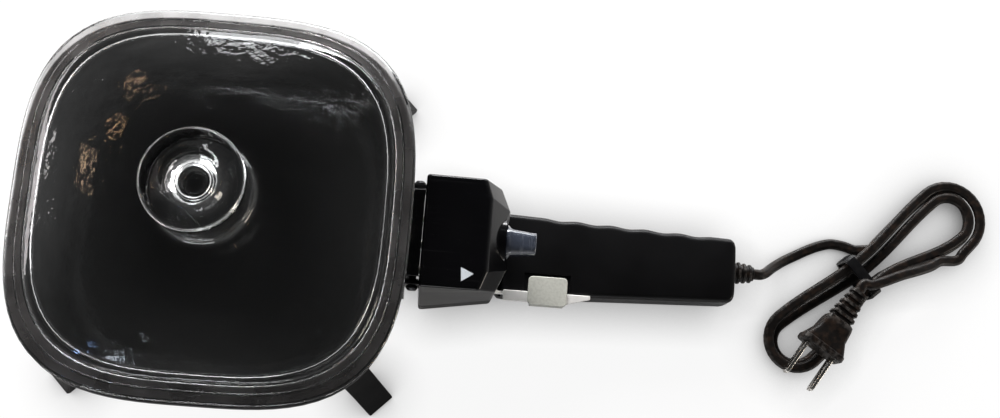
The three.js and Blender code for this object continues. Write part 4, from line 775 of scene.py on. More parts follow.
def rubber_finish(colours):
    """Soft vinyl sheath, with a painted brown sheen in patches and a painted highlight along its raised
    edges.
    """
    finish = new_finish(
        "cord_rubber", colours.rubber, 0.4, change=0.35, mottle_scale=90.0, Specular_IOR_Level=0.22
    )
    # painted reflection: brown patches stand in for the brownish sheen that the sheath reflects
    patches(finish, (0.034, 0.020, 0.013), 0.55, scale=350.0, detail=6.0, most=0.5, start=0.48, end=0.75)
    # painted highlight: a paler colour along the raised edges and ribs
    masked(finish, "edge_wear", (0.16, 0.15, 0.14), 0.45, Scale=500.0, Amount=0.6)
    raised(finish, "moulded_grain", strength=0.2, distance=0.0001, Scale=2000.0)


def wire_finish(colours):
    """Woven heat-proof sleeve of the inner wires."""
    finish = new_finish("wire", colours.wire, 0.75, change=0.2, mottle_scale=500.0)
    tree = finish.node_tree
    weave = add_node(tree, "ShaderNodeTexWave", Scale=700.0, Distortion=1.5)
    tree.links.new(tree.nodes.new("ShaderNodeTexCoord").outputs["Object"], weave.inputs["Vector"])
    mix_over(finish, weave.outputs["Fac"], (0.2, 0.19, 0.18), 0.85)
    add_bump(finish, weave.outputs["Fac"], strength=0.4, distance=0.0001)


def white_mark_finish(colours):
    """White pad-printed ink, thin enough to let a little black through."""
    finish = new_finish("white_ink", colours.ink, 0.4, change=0.05, mottle_scale=200.0)
    patches(finish, (0.3, 0.3, 0.3), 0.35, scale=1500.0, detail=4.0, most=0.5, start=0.6, end=0.75)


def floor_finish(colours):
    """Matt pale paper, lifted to white where it is seen, also through glass; an occlusion node darkens the
    lifted white near the pieces as painted shade, and the lit paper keeps its real shadow.
    """
    finish = new_finish(
        "floor", colours.floor, 0.95, change=0.004, mottle_scale=3.0, Specular_IOR_Level=0.1
    )
    tree = finish.node_tree
    rays = tree.nodes.new("ShaderNodeLightPath")
    seen = maths(tree, "MAXIMUM", rays.outputs["Is Camera Ray"], rays.outputs["Is Transmission Ray"])
    lift = maths(tree, "MULTIPLY", seen, FLOOR_LIFT)
    # painted shade: the occlusion colour darkens the lifted white where a piece stands near the floor
    painted_shade = add_node(tree, "ShaderNodeAmbientOcclusion", Distance=PAINTED_SHADE_REACH)
    white = tree.nodes.new("ShaderNodeEmission")
    tree.links.new(painted_shade.outputs["Color"], white.inputs["Color"])
    both = tree.nodes.new("ShaderNodeMixShader")
    sources = (lift, tree.nodes["Principled BSDF"].outputs["BSDF"], white.outputs["Emission"])
    for source, socket in zip(sources, both.inputs):
        tree.links.new(source, socket)
    tree.links.new(both.outputs["Shader"], tree.nodes["Material Output"].inputs["Surface"])


# One finish for each of the record's slots, and those that only the scene has
FINISH_MAKERS = (
    coating_finish, glass_finish, matt_glass_finish, gloss_finish, satin_finish, matt_finish, smoke_finish,
    steel_finish, plated_finish, blackened_finish, tab_finish, brass_finish, ceramic_finish, phenolic_finish,
    rubber_finish, wire_finish, blade_finish, white_mark_finish, floor_finish,
)


def finish_named(name):
    """The finish made for a slot, or for a few pieces of it."""
    return bpy.data.materials[name + FINISH_SUFFIX]


# Cord: its route is the frame's own, in metres

STRAND_RADIUS = 0.0023  # radius of the round solids that the cord stands for
CORD_Z = 0.014
HANK_CENTRE = (PAN_X + 0.2801, 0.0035)
HANK_ANGLE = math.radians(41.7)
FOLD_HALF = 0.0449
OUTER_FOLD_RADIUS = 0.0138
STRAND_STEP = 0.00525
LAYER_STEP = 0.00525
FLOOR_GAP = 0.0001
WAIST_PINCH = 0.0065
WAIST_SHIFT = 0.003
WAIST_LIFT = 0.0017
START_TURN = 0.05
REVERSE_TURN = 1.0
END_TURN = 2.375
TURN_PARTS = 4
CLIMB_HALF = 1 / 8  # share of a turn before and after the reverse in which the strand climbs
RUN_HALF = 1 / 8  # half of a long run's share of a turn: turns are counted from the middle of a run
STEPS_PER_TURN = 64
ROUTE_STEPS = 5
SINK_LENGTH = 0.02  # over this length the flat cord settles from the round solid's axis on to the table
CORD_SIDES = 20
PLUG_START = (PAN_X + 0.2706, -0.0043)
PLUG_ANGLE = math.radians(-123.1)
PLUG_Z = 0.016

LEAD_ROUTE = [
    (0.22415, 0.0, 0.014), (0.2266, 0.0, 0.014), (0.2300, 0.0012, 0.012), (0.2345, 0.0046, 0.0076),
    (0.2405, 0.0086, 0.0036), (0.2463, 0.0118, 0.0025), (0.2515, 0.0146, 0.0025), (0.2570, 0.0170, 0.0025),
    (0.2628, 0.0184, 0.0025), (0.2682, 0.0178, 0.0026), (0.2736, 0.0164, 0.0030), (0.2784, 0.0169, 0.0036),
]
END_ROUTE = [
    (0.3099, 0.0134, 0.0096), (0.3042, 0.0102, 0.0120), (0.2974, 0.0074, 0.0146),
    (0.2896, 0.0046, 0.0162), (0.2818, 0.0012, 0.0166), (0.2758, -0.0009, 0.0164),
]


def hank_place(u, v, z):
    """A point of the hank from its own length and width directions."""
    c, s = math.cos(HANK_ANGLE), math.sin(HANK_ANGLE)
    return Vector((HANK_CENTRE[0] + u * c - v * s, HANK_CENTRE[1] + u * s + v * c, z))


def smoothstep(value, low, high):
    """0 below low, 1 above high, and a smooth climb between."""
    share = min(max((value - low) / (high - low), 0.0), 1.0)
    return share * share * (3 - 2 * share)


def hank_run(u, radius, side, z):
    """A point on one of the hank's long runs, drawn in at its waist."""
    waist = math.cos(math.pi * u / (2 * FOLD_HALF)) ** 2
    return hank_place(u, side * (radius - WAIST_PINCH * waist) + WAIST_SHIFT * waist, z + WAIST_LIFT * waist)


def hank_fold(end, radius, along, z):
    """A point on the fold at one end of the hank."""
    turn = math.pi * (0.5 - along)
    return hank_place(end * (FOLD_HALF + radius * math.cos(turn)), end * radius * math.sin(turn), z)


def hank_point(turn):
    """A point of the hank, by the number of turns from its waist."""
    inwards = abs(turn - REVERSE_TURN) - REVERSE_TURN
    radius = OUTER_FOLD_RADIUS + STRAND_STEP * inwards
    climb = smoothstep(turn, REVERSE_TURN - CLIMB_HALF, REVERSE_TURN + CLIMB_HALF)
    z = STRAND_RADIUS + FLOOR_GAP + LAYER_STEP * climb
    part = ((turn + RUN_HALF) % 1) * TURN_PARTS
    along = part % 1
    if part < 1:
        return hank_run(-FOLD_HALF + 2 * FOLD_HALF * along, radius, 1, z)
    if part < 2:
        return hank_fold(1, radius, along, z)
    if part < 3:
        return hank_run(FOLD_HALF - 2 * FOLD_HALF * along, radius, -1, z)
    return hank_fold(-1, radius, along, z)


def smooth_route(points):
    """The points with smooth steps in between."""
    return [Vector(p) for p in eased([tuple(p) for p in points], ROUTE_STEPS)]


def plug_way():
    """The plug's heading, and the direction across it."""
    return (
        Vector((math.cos(PLUG_ANGLE), math.sin(PLUG_ANGLE), 0.0)),
        Vector((-math.sin(PLUG_ANGLE), math.cos(PLUG_ANGLE), 0.0)),
    )


def cord_route():
    """The whole route from the strain relief, through the hank, to the plug."""
    steps = math.ceil((END_TURN - START_TURN) * STEPS_PER_TURN)
    hank = [hank_point(START_TURN + (END_TURN - START_TURN) * k / steps) for k in range(steps + 1)]
    first_way = (hank[1] - hank[0]).normalized()
    last_way = (hank[-1] - hank[-2]).normalized()
    way = plug_way()[0]
    plug = Vector((*PLUG_START, PLUG_Z))
    lead = [Vector((PAN_X + x, y, z)) for x, y, z in LEAD_ROUTE]
    step = 2 * STRAND_RADIUS
    lead += [hank[0] - first_way * (2 * step), hank[0] - first_way * step, hank[0]]
    end = [hank[-1], hank[-1] + last_way * step, hank[-1] + last_way * (2 * step)]
    end += [Vector((PAN_X + x, y, z)) for x, y, z in END_ROUTE]
    end += [plug - way * step, plug]
    return smooth_route(lead)[:-1] + hank + smooth_route(end)[1:]


def route_length(route):
    """The length along the points."""
    return sum((b - a).length for a, b in zip(route, route[1:]))


def cord_section(sizes):
    """The flat cord's outline: two round cores side by side, with a groove between."""
    core = sizes.core / 2
    offset = sizes.width / 2 - core
    section = []
    for k in range(CORD_SIDES):
        turn = 2 * math.pi * (k + 0.5) / CORD_SIDES
        c, s = math.cos(turn), math.sin(turn)
        across = offset * abs(c) + math.sqrt(max(core**2 - (offset * s) ** 2, 0.0))
        section.append((across * c, across * s))
    return section


def settled_route(sink):
    """The cord's route, sunk on to the table except near its two ends."""
    route = cord_route()
    whole, gone, placed = route_length(route), 0.0, []
    for i, point in enumerate(route):
        if i > 0:
            gone += (point - route[i - 1]).length
        settled = smoothstep(gone, 0.0, SINK_LENGTH) * smoothstep(whole - gone, 0.0, SINK_LENGTH)
        placed.append(point - Vector((0.0, 0.0, sink * settled)))
    return placed


def swept(name, section, route):
    """A closed skin drawn along the route, with the section's flat side down."""
    points, count = [], len(section)
    for i in range(len(route)):
        way = (route[min(i + 1, len(route) - 1)] - route[max(i - 1, 0)]).normalized()
        side = Vector((0.0, 0.0, 1.0)).cross(way).normalized()
        top = way.cross(side)
        points.extend(route[i] + side * a + top * b for a, b in section)
    faces = [tuple(reversed(range(count))), tuple(range(len(points) - count, len(points)))]
    for ring in range(len(route) - 1):
        for k in range(count):
            a, b = ring * count + k, ring * count + (k + 1) % count
            faces.append((a, b, b + count, a + count))
    mesh = bpy.data.meshes.new(name)
    mesh.from_pydata([tuple(p) for p in points], [], faces)
    piece = bpy.data.objects.new(name, mesh)
    bpy.context.scene.collection.objects.link(piece)
    return piece


class SKILLET_OT_cord(bpy.types.Operator):
    """Lays the flat cord: down from the grip, folded into its hank, and over it to the plug."""

    bl_idname = "skillet.cord"
    bl_label = "Cord"

    def execute(self, context):
        sizes = context.scene.skillet_cord
        placed = settled_route(STRAND_RADIUS - sizes.core / 2)
        cord = swept("cord", cord_section(sizes), placed)
        nodes = ("cord_lead", "cord_hank", "cord_end")
        settle(cord, "cord", "handle", "cord_rubber", *nodes, angle=CORD_ANGLE)
        return {"FINISHED"}


# Plug


def plug_ring(along, half_width, half_height, radius):
    """A rounded ring square to the plug's heading, at a distance along it."""
    way, across = plug_way()
    corners = rectangle((-half_width, -half_height), (half_width, half_height))
    start = Vector((*PLUG_START, PLUG_Z))
    return [
        start + way * along + across * side + Vector((0.0, 0.0, rise))
        for side, rise in rounded_polygon(corners, radius)
    ]


NECK_LENGTH = 0.0155
NECK_START = (0.0034, 0.0030)
NECK_END = (0.0056, 0.0040)
NECK_RIBS = 5
PLUG_LENGTH = 0.013
PLUG_REAR_HALF = 0.0064
PLUG_HALF_HEIGHT = 0.0054
PLUG_FLANGE_LENGTH = 0.003
PLUG_FLANGE_HALF = (0.0100, 0.0060)
PLUG_SOFT = 0.0022
BLADE_SOFT = 0.0003
TIE_SOFT = 0.0004
# Along each rib of the neck: place as a share of the rib, depth as a share of the groove
NECK_RIB_SHARES = ((0.0, 0.6), (0.12, 0.0), (0.5, 0.0), (0.62, 1.0), (0.9, 1.0))
# The plug's soft rear edge: distance along it, how far it is drawn in, radius of its corners
PLUG_REAR_ROWS = (
    (0.0, PLUG_SOFT / 2, PLUG_SOFT * 0.8),
    (PLUG_SOFT / 4, PLUG_SOFT / 6, PLUG_SOFT),
)
# Along the plug's body: place as a share of its length, half width, share of its height
PLUG_BODY_ROWS = (
    (PLUG_SOFT / PLUG_LENGTH, PLUG_REAR_HALF, 1.0),
    (0.35, 0.00684, 0.88),
    (0.6, 0.0072, 0.88),
    (0.85, 0.00864, 1.0),
    (1.0, 0.0096, 1.0),
)
# Along the plug's flange: place as a share of its length, how far it is drawn in
PLUG_FLANGE_ROWS = ((1 / 6, 0.0), (0.8, 0.0), (1.0, PLUG_SOFT / 5))


class SKILLET_OT_plug(bpy.types.Operator):
    """Moulds the plug: a ribbed neck and a waisted body, then softens its blades and the cord's tie."""

    bl_idname = "skillet.plug"
    bl_label = "Plug"

    def execute(self, context):
        neck = lofted(self.neck_rings(context.scene.skillet_cord.neck_groove))
        settle(neck, "plug_neck_moulding", "handle", "cord_rubber", "plug_neck")
        settle(lofted(self.body_rings()), "plug_moulding", "handle", "cord_rubber", "plug_body")
        for side in ("left", "right"):
            softened(f"plug_blade_{side}", f"{side}_blade", BLADE_SOFT, "brass", "blades")
        softened("cord_tie", "cord_band", TIE_SOFT, "black_satin", segments=ROUND_SEGMENTS)
        return {"FINISHED"}

    def neck_rings(self, groove):
        """The neck widens towards the plug, with a groove after each rib."""
        places = [(k + part, drop) for k in range(NECK_RIBS) for part, drop in NECK_RIB_SHARES]
        rings = []
        for place, drop in [*places, (NECK_RIBS, 1.0)]:
            halves = [mix(a, b, place / NECK_RIBS) - groove * drop for a, b in zip(NECK_START, NECK_END)]
            rings.append(plug_ring(place * NECK_LENGTH / NECK_RIBS, *halves, NECK_START[1] / 2))
        return rings

    def body_rings(self):
        """The body has a soft rear edge, a waist for the fingers and a flange in front."""
        start = NECK_LENGTH + SEAT_GAP
        front = start + PLUG_LENGTH
        rings = []
        for along, inset, corner in PLUG_REAR_ROWS:
            rings.append(plug_ring(start + along, PLUG_REAR_HALF - inset, PLUG_HALF_HEIGHT - inset, corner))
        for share, half_width, rise in PLUG_BODY_ROWS:
            half_height = PLUG_HALF_HEIGHT * rise
            rings.append(plug_ring(start + PLUG_LENGTH * share, half_width, half_height, PLUG_SOFT))
        for share, inset in PLUG_FLANGE_ROWS:
            halves = [half - inset for half in PLUG_FLANGE_HALF]
            rings.append(plug_ring(front + PLUG_FLANGE_LENGTH * share, *halves, PLUG_SOFT))
        return rings


# Pan and legs

BOSS_START = 0.060
BOSS_END = 0.072
BOSS_HALF = 0.020
BOSS_FOOT = 0.0135
BOSS_TOP = 0.052
BASE_CORNER_HALF = 0.0624
BASE_CORNER_RISE = 0.0032
WALL_TOP_HALF = 0.0735
FLOOR_HALF = 0.055
LEG_BOSS_RADIUS = 0.006
LEG_BOSS_RADIAL = 0.064
LEG_BOSS_FOOT = 0.0208
BOSS_SOFT = 0.0015
BOSS_SEGMENTS = 4
BOSS_BITE = 0.002  # how far the legs' bosses reach into the pan
FLOOR_EASE = 0.0004  # the floor rises this much before its corner
FLOOR_CORNER = 0.0028
FLOOR_SHARES = (POLE_SHARE, 0.5, 0.9)  # places of the rows on the flat floor
FLOOR_EDGE_SHARE = 1.04
BASE_SHARES = (0.96, 0.5, POLE_SHARE)  # places of the rows on the flat base
SECTION_STEPS = 2
INNER_NECK = (0.0012, 0.004)  # how far the hollow's last row stands in from the rim, and under it
BASE_BULGE = (0.0006, 0.0010)  # how far the lower wall bulges out, and up
BASE_EASE = 0.0002
LEG_SOFT = 0.0009


def pan_rows(sizes):
    """The pan's two sections, each from axis to axis: the hollow inside, and the whole outside."""
    n = sizes.squareness
    rim, inner = sizes.rim_half, sizes.rim_half - sizes.rim_width
    floor = sizes.base_height + sizes.base_thickness
    foot, foot_z = sizes.wall_foot_half, sizes.wall_foot_height
    under_rim = RIM_TOP - sizes.rim_thickness
    soft = sizes.rim_thickness / 6
    inside = [
        *[(FLOOR_HALF * share, floor, n) for share in FLOOR_SHARES],
        (FLOOR_HALF * FLOOR_EDGE_SHARE, floor + FLOOR_EASE, n),
        (foot - sizes.wall_thickness - FLOOR_CORNER, floor + FLOOR_CORNER, n),
        (foot - sizes.wall_thickness, foot_z, n),
        (inner - INNER_NECK[0], under_rim - INNER_NECK[1], n),
        (inner, under_rim, n),
        (inner, RIM_TOP - soft * 2, n),
        (inner + soft, RIM_TOP - soft / 3, n),
        (inner + soft * 2, RIM_TOP, n),
        (inner + soft * 3, RIM_TOP + soft, n),
        (POLE_SHARE * inner, RIM_TOP + soft, n),
    ]
    outside = [
        (POLE_SHARE * rim, RIM_TOP, n),
        (rim - sizes.rim_width / 2, RIM_TOP, n),
        (rim - soft * 2, RIM_TOP, n),
        (rim - soft / 2, RIM_TOP - soft / 2, n),
        (rim, RIM_TOP - soft * 2, n),
        (rim, under_rim + soft * 2, n),
        (rim - soft, under_rim + soft / 2, n),
        (WALL_TOP_HALF + soft, under_rim - soft, n),
        (WALL_TOP_HALF, under_rim - (rim - WALL_TOP_HALF), n),
        ((WALL_TOP_HALF + foot) / 2, (under_rim + foot_z) / 2, n),
        (foot, foot_z, n),
        ((foot + BASE_CORNER_HALF) / 2 + BASE_BULGE[0], (foot_z + sizes.base_height) / 2 + BASE_BULGE[1], n),
        (BASE_CORNER_HALF, sizes.base_height + BASE_CORNER_RISE, n),
        (sizes.base_half, sizes.base_height + BASE_EASE, n),
        *[(sizes.base_half * share, sizes.base_height, n) for share in BASE_SHARES],
    ]
    return inside, outside


class SKILLET_OT_pan(bpy.types.Operator):
    """Casts the pan with its rim, the boss for the handle's bracket and the bosses for its legs."""

    bl_idname = "skillet.pan"
    bl_label = "Pan"

    def execute(self, context):
        sizes = context.scene.skillet_pan
        inside, outside = pan_rows(sizes)
        pan, hollow = (square_turned(eased(rows, SECTION_STEPS), (PAN_X, 0.0)) for rows in (outside, inside))
        boss = block((PAN_X + BOSS_START, -BOSS_HALF, BOSS_FOOT), (PAN_X + BOSS_END, BOSS_HALF, BOSS_TOP))
        with_modifier(boss, "BEVEL", width=BOSS_SOFT, segments=BOSS_SEGMENTS)
        carve(pan, boss, *self.leg_bosses(sizes.base_height), operation="UNION")
        carve(pan, hollow)
        settle(pan, "cast_pan", "pan", "coating", "pan")
        return {"FINISHED"}

    def leg_bosses(self, base_height):
        """Four round bosses under the pan's corners, for the legs' screws."""
        top = base_height + BOSS_BITE
        reach = LEG_BOSS_RADIAL / math.sqrt(2)
        bosses = []
        for across in (1, -1):
            for along in (1, -1):
                select_only()
                bpy.ops.mesh.primitive_cylinder_add(
                    vertices=ROUND_SIDES,
                    radius=LEG_BOSS_RADIUS,
                    depth=top - LEG_BOSS_FOOT,
                    location=(PAN_X + along * reach, across * reach, (top + LEG_BOSS_FOOT) / 2),
                )
                bosses.append(bpy.context.object)
        return bosses


class SKILLET_OT_legs(bpy.types.Operator):
    """Finishes the four corner legs with soft moulded edges."""

    bl_idname = "skillet.legs"
    bl_label = "Legs"

    def execute(self, context):
        for corner in ("front_right", "front_left", "rear_left", "rear_right"):
            moulding = f"{corner}_leg_moulding"
            softened(f"leg_{corner}", moulding, LEG_SOFT, "black_satin", "matt_black", ROUND_SEGMENTS)
        return {"FINISHED"}


# Lid


LID_SEAT_RISE = 0.0032  # from the lip's foot to the flange's underside
FLANGE_THICKNESS = 0.0015
STEP_RISE = 0.0016  # from the flange to the second band
BAND_RISE = 0.0029
LIP_HALF = 0.0676
LIP_WIDTH = 0.0032
LIP_SOFT = 0.0010
DISH_DEPTH = 0.0016
WAIST_SHARE = 0.4  # height of the knob's waist over its foot
LIP_TOP_SHARE = 0.4  # height of the lip's inner edge over the seat, as a share of the glass
UNDER_FOOT_SHARE = 0.8  # least height of the dome's underside over the seat, as a share of the glass
DOME_POWER = 0.9
ROUND_EXPONENT = 2
ROUNDING_POWER = 0.7  # how soon the dome's outline turns from square to round
DOME_SHARES = [0.06, 0.14, 0.24, 0.36, 0.5, 0.64, 0.78, 0.9, 1.0]
BAND_SOFT = 0.0006  # softness of the edges between the bands

# Round sections: share of a radius, and height over a level as a share of the glass's thickness
DISH_FLOOR_SHARES = [(POLE_SHARE, -0.05), (0.4, -0.025), (0.8, 0.05), (0.95, 0.225)]
DISH_EDGE_SHARES = [(1.05, -0.05), (1.2, 0.0)]
KNOB_SIDE_SHARES = [(0.8, -0.025), (0.93, -0.15), (0.99, -0.525), (1.0, -0.95), (0.985, -1.35), (0.93, -1.95)]
KNOB_WAIST_SHARES = [(1.03, 0.75), (1.0, 0.0), (1.03, -0.875)]
KNOB_FOOT_SHARES = [(1.1, 0.35)]
BORE_FOOT_SHARES = [(1.15, -0.25), (1.0, 0.5)]
BORE_TOP_SHARES = [(0.88, -1.75), (0.6, -1.3), (0.25, -1.15), (POLE_SHARE, -1.125)]


def round_rows(shares, radius, level, glass):
    """Round rows of the lid's section, from one table of shares."""
    return [(radius * across, level + glass * rise, ROUND_EXPONENT) for across, rise in shares]


def knob_rows(sizes):
    """The outside of the glass knob, from its dish down to its foot."""
    glass, top, neck = sizes.glass, LID_HIGH.z, sizes.knob_neck_radius
    foot_z = top - sizes.knob_height
    return [
        *round_rows(DISH_FLOOR_SHARES, sizes.dish_radius, top - DISH_DEPTH, glass),
        *round_rows(DISH_EDGE_SHARES, sizes.dish_radius, top, glass),
        *round_rows(KNOB_SIDE_SHARES, sizes.knob_radius, top, glass),
        *round_rows(KNOB_WAIST_SHARES, neck, foot_z + sizes.knob_height * WAIST_SHARE, glass),
        *round_rows(KNOB_FOOT_SHARES, neck, foot_z, glass),
    ]


def band_rows(sizes, squareness, seat):
    """The flange's two bands, its edge and the lip under it, with soft edges."""
    soft = BAND_SOFT
    flange_top = seat + FLANGE_THICKNESS
    half, step_half = sizes.half, sizes.half - sizes.flange_width
    band_half, step_z = step_half - sizes.band_width, flange_top + STEP_RISE
    band_z = step_z + BAND_RISE
    lip_inner = LIP_HALF - LIP_WIDTH
    rows = [
        (band_half + soft / 2, band_z - soft / 2),
        (band_half + soft * 2, band_z - soft * 2),
        (step_half - soft * 2, step_z + soft * 3 / 2),
        (step_half - soft / 3, step_z + soft),
        (step_half, step_z + soft / 6),
        (step_half + soft, step_z - soft / 2),
        (half - soft * 8 / 3, flange_top + soft),
        (half - soft, flange_top + soft / 6),
        (half, flange_top - soft),
        (half, seat + soft),
        (half - soft * 2 / 3, seat + soft / 6),
        (half - soft * 7 / 3, seat),
        (LIP_HALF + soft, seat),
        (LIP_HALF, seat - soft * 5 / 6),
        (LIP_HALF, LID_LOW.z + LIP_SOFT),
        ((LIP_HALF + lip_inner) / 2, LID_LOW.z),
        (lip_inner, LID_LOW.z + LIP_SOFT),
        (lip_inner, seat + sizes.glass * LIP_TOP_SHARE),
    ]
    return [(reach, z, squareness) for reach, z in rows]


def lid_rows(sizes, squareness):
    """The lid's section from the top of its knob, down the outside, and back up under the dome."""
    glass, foot_radius = sizes.glass, sizes.knob_foot_radius
    seat = LID_LOW.z + LID_SEAT_RISE
    band_half = sizes.half - sizes.flange_width - sizes.band_width
    band_z = seat + FLANGE_THICKNESS + STEP_RISE + BAND_RISE
    lip_inner = LIP_HALF - LIP_WIDTH
    foot_z = LID_HIGH.z - sizes.knob_height
    outer, under = [], []
    for share in DOME_SHARES:
        z = band_z + sizes.dome_rise * math.sin(share * math.pi / 2) ** DOME_POWER
        exponent = mix(squareness, ROUND_EXPONENT, share**ROUNDING_POWER)
        outer.append((mix(band_half, foot_radius, share), z, exponent))
        under_z = max(z - glass, seat + glass * UNDER_FOOT_SHARE)
        under.append((mix(lip_inner, foot_radius, share), under_z, exponent))
    return [
        *knob_rows(sizes),
        *reversed(outer),
        *band_rows(sizes, squareness, seat),
        *under,
        *round_rows(BORE_FOOT_SHARES, sizes.bore_radius, foot_z, glass),
        *round_rows(BORE_TOP_SHARES, sizes.bore_radius, LID_HIGH.z - DISH_DEPTH, glass),
    ]


class SKILLET_OT_lid(bpy.types.Operator):
    """Presses the clear glass lid: banded flange, shallow dome and a hollow knob in one piece."""

    bl_idname = "skillet.lid"
    bl_label = "Lid"

    def execute(self, context):
        sizes, squareness = context.scene.skillet_lid, context.scene.skillet_pan.squareness
        lid = square_turned(eased(lid_rows(sizes, squareness)), LID_CENTRE)
        settle(lid, "glass_lid", "lid", "lid_glass", "lid", angle=LID_ANGLE)
        self.matt_bands(lid, sizes, squareness)
        return {"FINISHED"}

    def matt_bands(self, lid, sizes, squareness):
        """Gives the flange's upper faces the matt finish that the mould leaves on them."""
        lid.data.materials.append(finish_named("matt_glass"))
        inner = sizes.half - sizes.flange_width - sizes.band_width
        for face in lid.data.polygons:
            across, along = (abs(face.center[k] - LID_CENTRE[k]) for k in (0, 1))
            reach = (across**squareness + along**squareness) ** (1 / squareness)
            if face.normal.z > MATT_LEAST_RISE and reach > inner:
                face.material_index = 1


# Handle: head, grip, control knob, lever and strain relief

HEAD_REAR_LEAN = 0.0085
HEAD_TOP_REAR_X = HEAD_HIGH.x - HEAD_REAR_LEAN
HEAD_SPLIT_Z = 0.020
HEAD_SHOULDER_Z = 0.050
HEAD_FRONT_HALF = 0.026
HEAD_SHOULDER_FRONT_HALF = 0.0234
HEAD_TOP_HALF = 0.0224
HEAD_REAR_HALF = 0.021
HEAD_REAR_FLAT = 0.012
HEAD_TOP_REAR_FLAT = 0.015
HEAD_CHAMFER = (0.0040, 0.0026)
SHOULDER_SOFT = 0.0007
EAR_SPANS = ((-0.0208, -0.0181), (0.0181, 0.0208))
LEVER_SPAN = (-0.0190, -0.0166)
EAR_SLOT_Z = (0.0354, 0.0506)
LEVER_SLOT_FOOT = 0.024
REAR_SLOT_Z = (0.0209, 0.0445)
REAR_SLOT_X = 0.0325
SOCKET_SPACING = 0.022
SOCKET_HOLE = 0.0041
PROBE_HOLE = 0.0033
PIN_Z = 0.02045
RECESS_FLOOR_X = 0.037
TRIANGLE = ((0.0220, -0.0137), (0.0224, -0.0192), (0.0272, -0.0160))
INK_THICKNESS = 0.00005


def head_ring(z, inset, corner):
    """The head's outline at a height, drawn in by the inset."""
    rise = min(max((z - HEAD_SHOULDER_Z) / (HEAD_HIGH.z - HEAD_SHOULDER_Z), 0.0), 1.0)
    lean = min(max((z - HEAD_SPLIT_Z) / (HEAD_SHOULDER_Z - HEAD_SPLIT_Z), 0.0), 1.0)
    front = mix(mix(HEAD_FRONT_HALF, HEAD_SHOULDER_FRONT_HALF, lean), HEAD_TOP_HALF, rise) - inset
    rear = mix(HEAD_REAR_HALF, HEAD_TOP_HALF, rise) - inset
    rear_x = mix(HEAD_HIGH.x, HEAD_TOP_REAR_X, rise) - inset
    flat = mix(HEAD_REAR_FLAT, HEAD_TOP_REAR_FLAT, rise) - inset
    chamfer = mix(HEAD_CHAMFER[0], HEAD_CHAMFER[1], rise)
    corners = [
        (HEAD_LOW.x + inset, -front), (rear_x - chamfer, -rear), (rear_x, -flat),
        (rear_x, flat), (rear_x - chamfer, rear), (HEAD_LOW.x + inset, front),
    ]
    return [(x, y, z) for x, y in rounded_polygon(corners, corner)]


def weighted(piece):
    """Shades the flat faces flat and keeps the turn of the light to the rounded edges."""
    select_only(piece)
    bpy.ops.object.shade_smooth_by_angle(angle=SMOOTH_ANGLE)
    return with_modifier(piece, "WEIGHTED_NORMAL", keep_sharp=True)


class SKILLET_OT_head(bpy.types.Operator):
    """Moulds the glossy head, with its slots, its round recess and the white triangle."""

    bl_idname = "skillet.head"
    bl_label = "Handle head"

    def execute(self, context):
        sizes = context.scene.skillet_handle
        edge, wall, corner = sizes.head_edge, sizes.head_wall, sizes.head_corner
        foot, top = HEAD_LOW.z, HEAD_HIGH.z
        levels = [(foot, 0.0), (HEAD_SHOULDER_Z - SHOULDER_SOFT, 0.0), (HEAD_SHOULDER_Z + SHOULDER_SOFT, 0.0)]
        levels += [(top - edge + edge * s, edge * (1 - c)) for s, c in quarter()]
        head = lofted([head_ring(z, inset, corner) for z, inset in levels])
        hollow_levels = (foot - OVERRUN, HEAD_SHOULDER_Z, top - wall)
        carve(head, lofted([head_ring(z, wall, corner) for z in hollow_levels]))
        centre = (0.0, KNOB_AXIS_Z)
        pad = disc_along_x((RECESS_FLOOR_X - wall, HEAD_HIGH.x - edge), sizes.recess_radius + wall, centre)
        carve(head, pad, operation="UNION")
        recess = disc_along_x((RECESS_FLOOR_X, HEAD_HIGH.x + OVERRUN), sizes.recess_radius, centre)
        carve(head, recess, *self.openings(wall))
        weighted(head)
        settle(head, "head_shell", "handle", "black_gloss", "head_cover", angle=None)
        ink_levels = (top - INK_THICKNESS, top + INK_THICKNESS)
        triangle = lofted([[(x, y, z) for x, y in TRIANGLE] for z in ink_levels])
        settle(triangle, "white_triangle", "handle", "black_gloss", finish="white_ink")
        return {"FINISHED"}

    def openings(self, wall):
        """Cutters for the ears' and the lever's slots, and for the pins' and the probe's holes."""
        front = (HEAD_LOW.x - OVERRUN, HEAD_LOW.x + wall + OVERRUN)
        behind = HEAD_HIGH.x + OVERRUN
        near_ear, far_ear = EAR_SPANS
        return [
            block((front[0], near_ear[0], LEVER_SLOT_FOOT), (front[1], LEVER_SPAN[1], EAR_SLOT_Z[1])),
            block((front[0], far_ear[0], EAR_SLOT_Z[0]), (front[1], far_ear[1], EAR_SLOT_Z[1])),
            block((REAR_SLOT_X, LEVER_SPAN[0], REAR_SLOT_Z[0]), (behind, LEVER_SPAN[1], REAR_SLOT_Z[1])),
            *[disc_along_x(front, SOCKET_HOLE, (side * SOCKET_SPACING / 2, PIN_Z)) for side in (-1, 1)],
            disc_along_x(front, PROBE_HOLE, (0.0, PIN_Z)),
        ]


GRIP_NEAR = (0.0186, 0.0142)
GRIP_FAR = (0.0164, 0.0133)
GRIP_END_SOFT = 0.003
GRIP_STATIONS = 60
END_DROP_SHARE = 0.4  # how far the grip's end drops, as a share of how far its sides draw in
FINGER_SPAN = (0.16, 0.90)
CROWN_STEPS = 8
STRIP_CHANNEL_Y = -0.0159
STRIP_CHANNEL_Z = 0.0217
STRIP_CHANNEL_END = 0.0786
TAB_MARGIN = 0.0015
TAB_RECESS_DEPTH = 0.001
MOULDING_SOFT = 0.0005


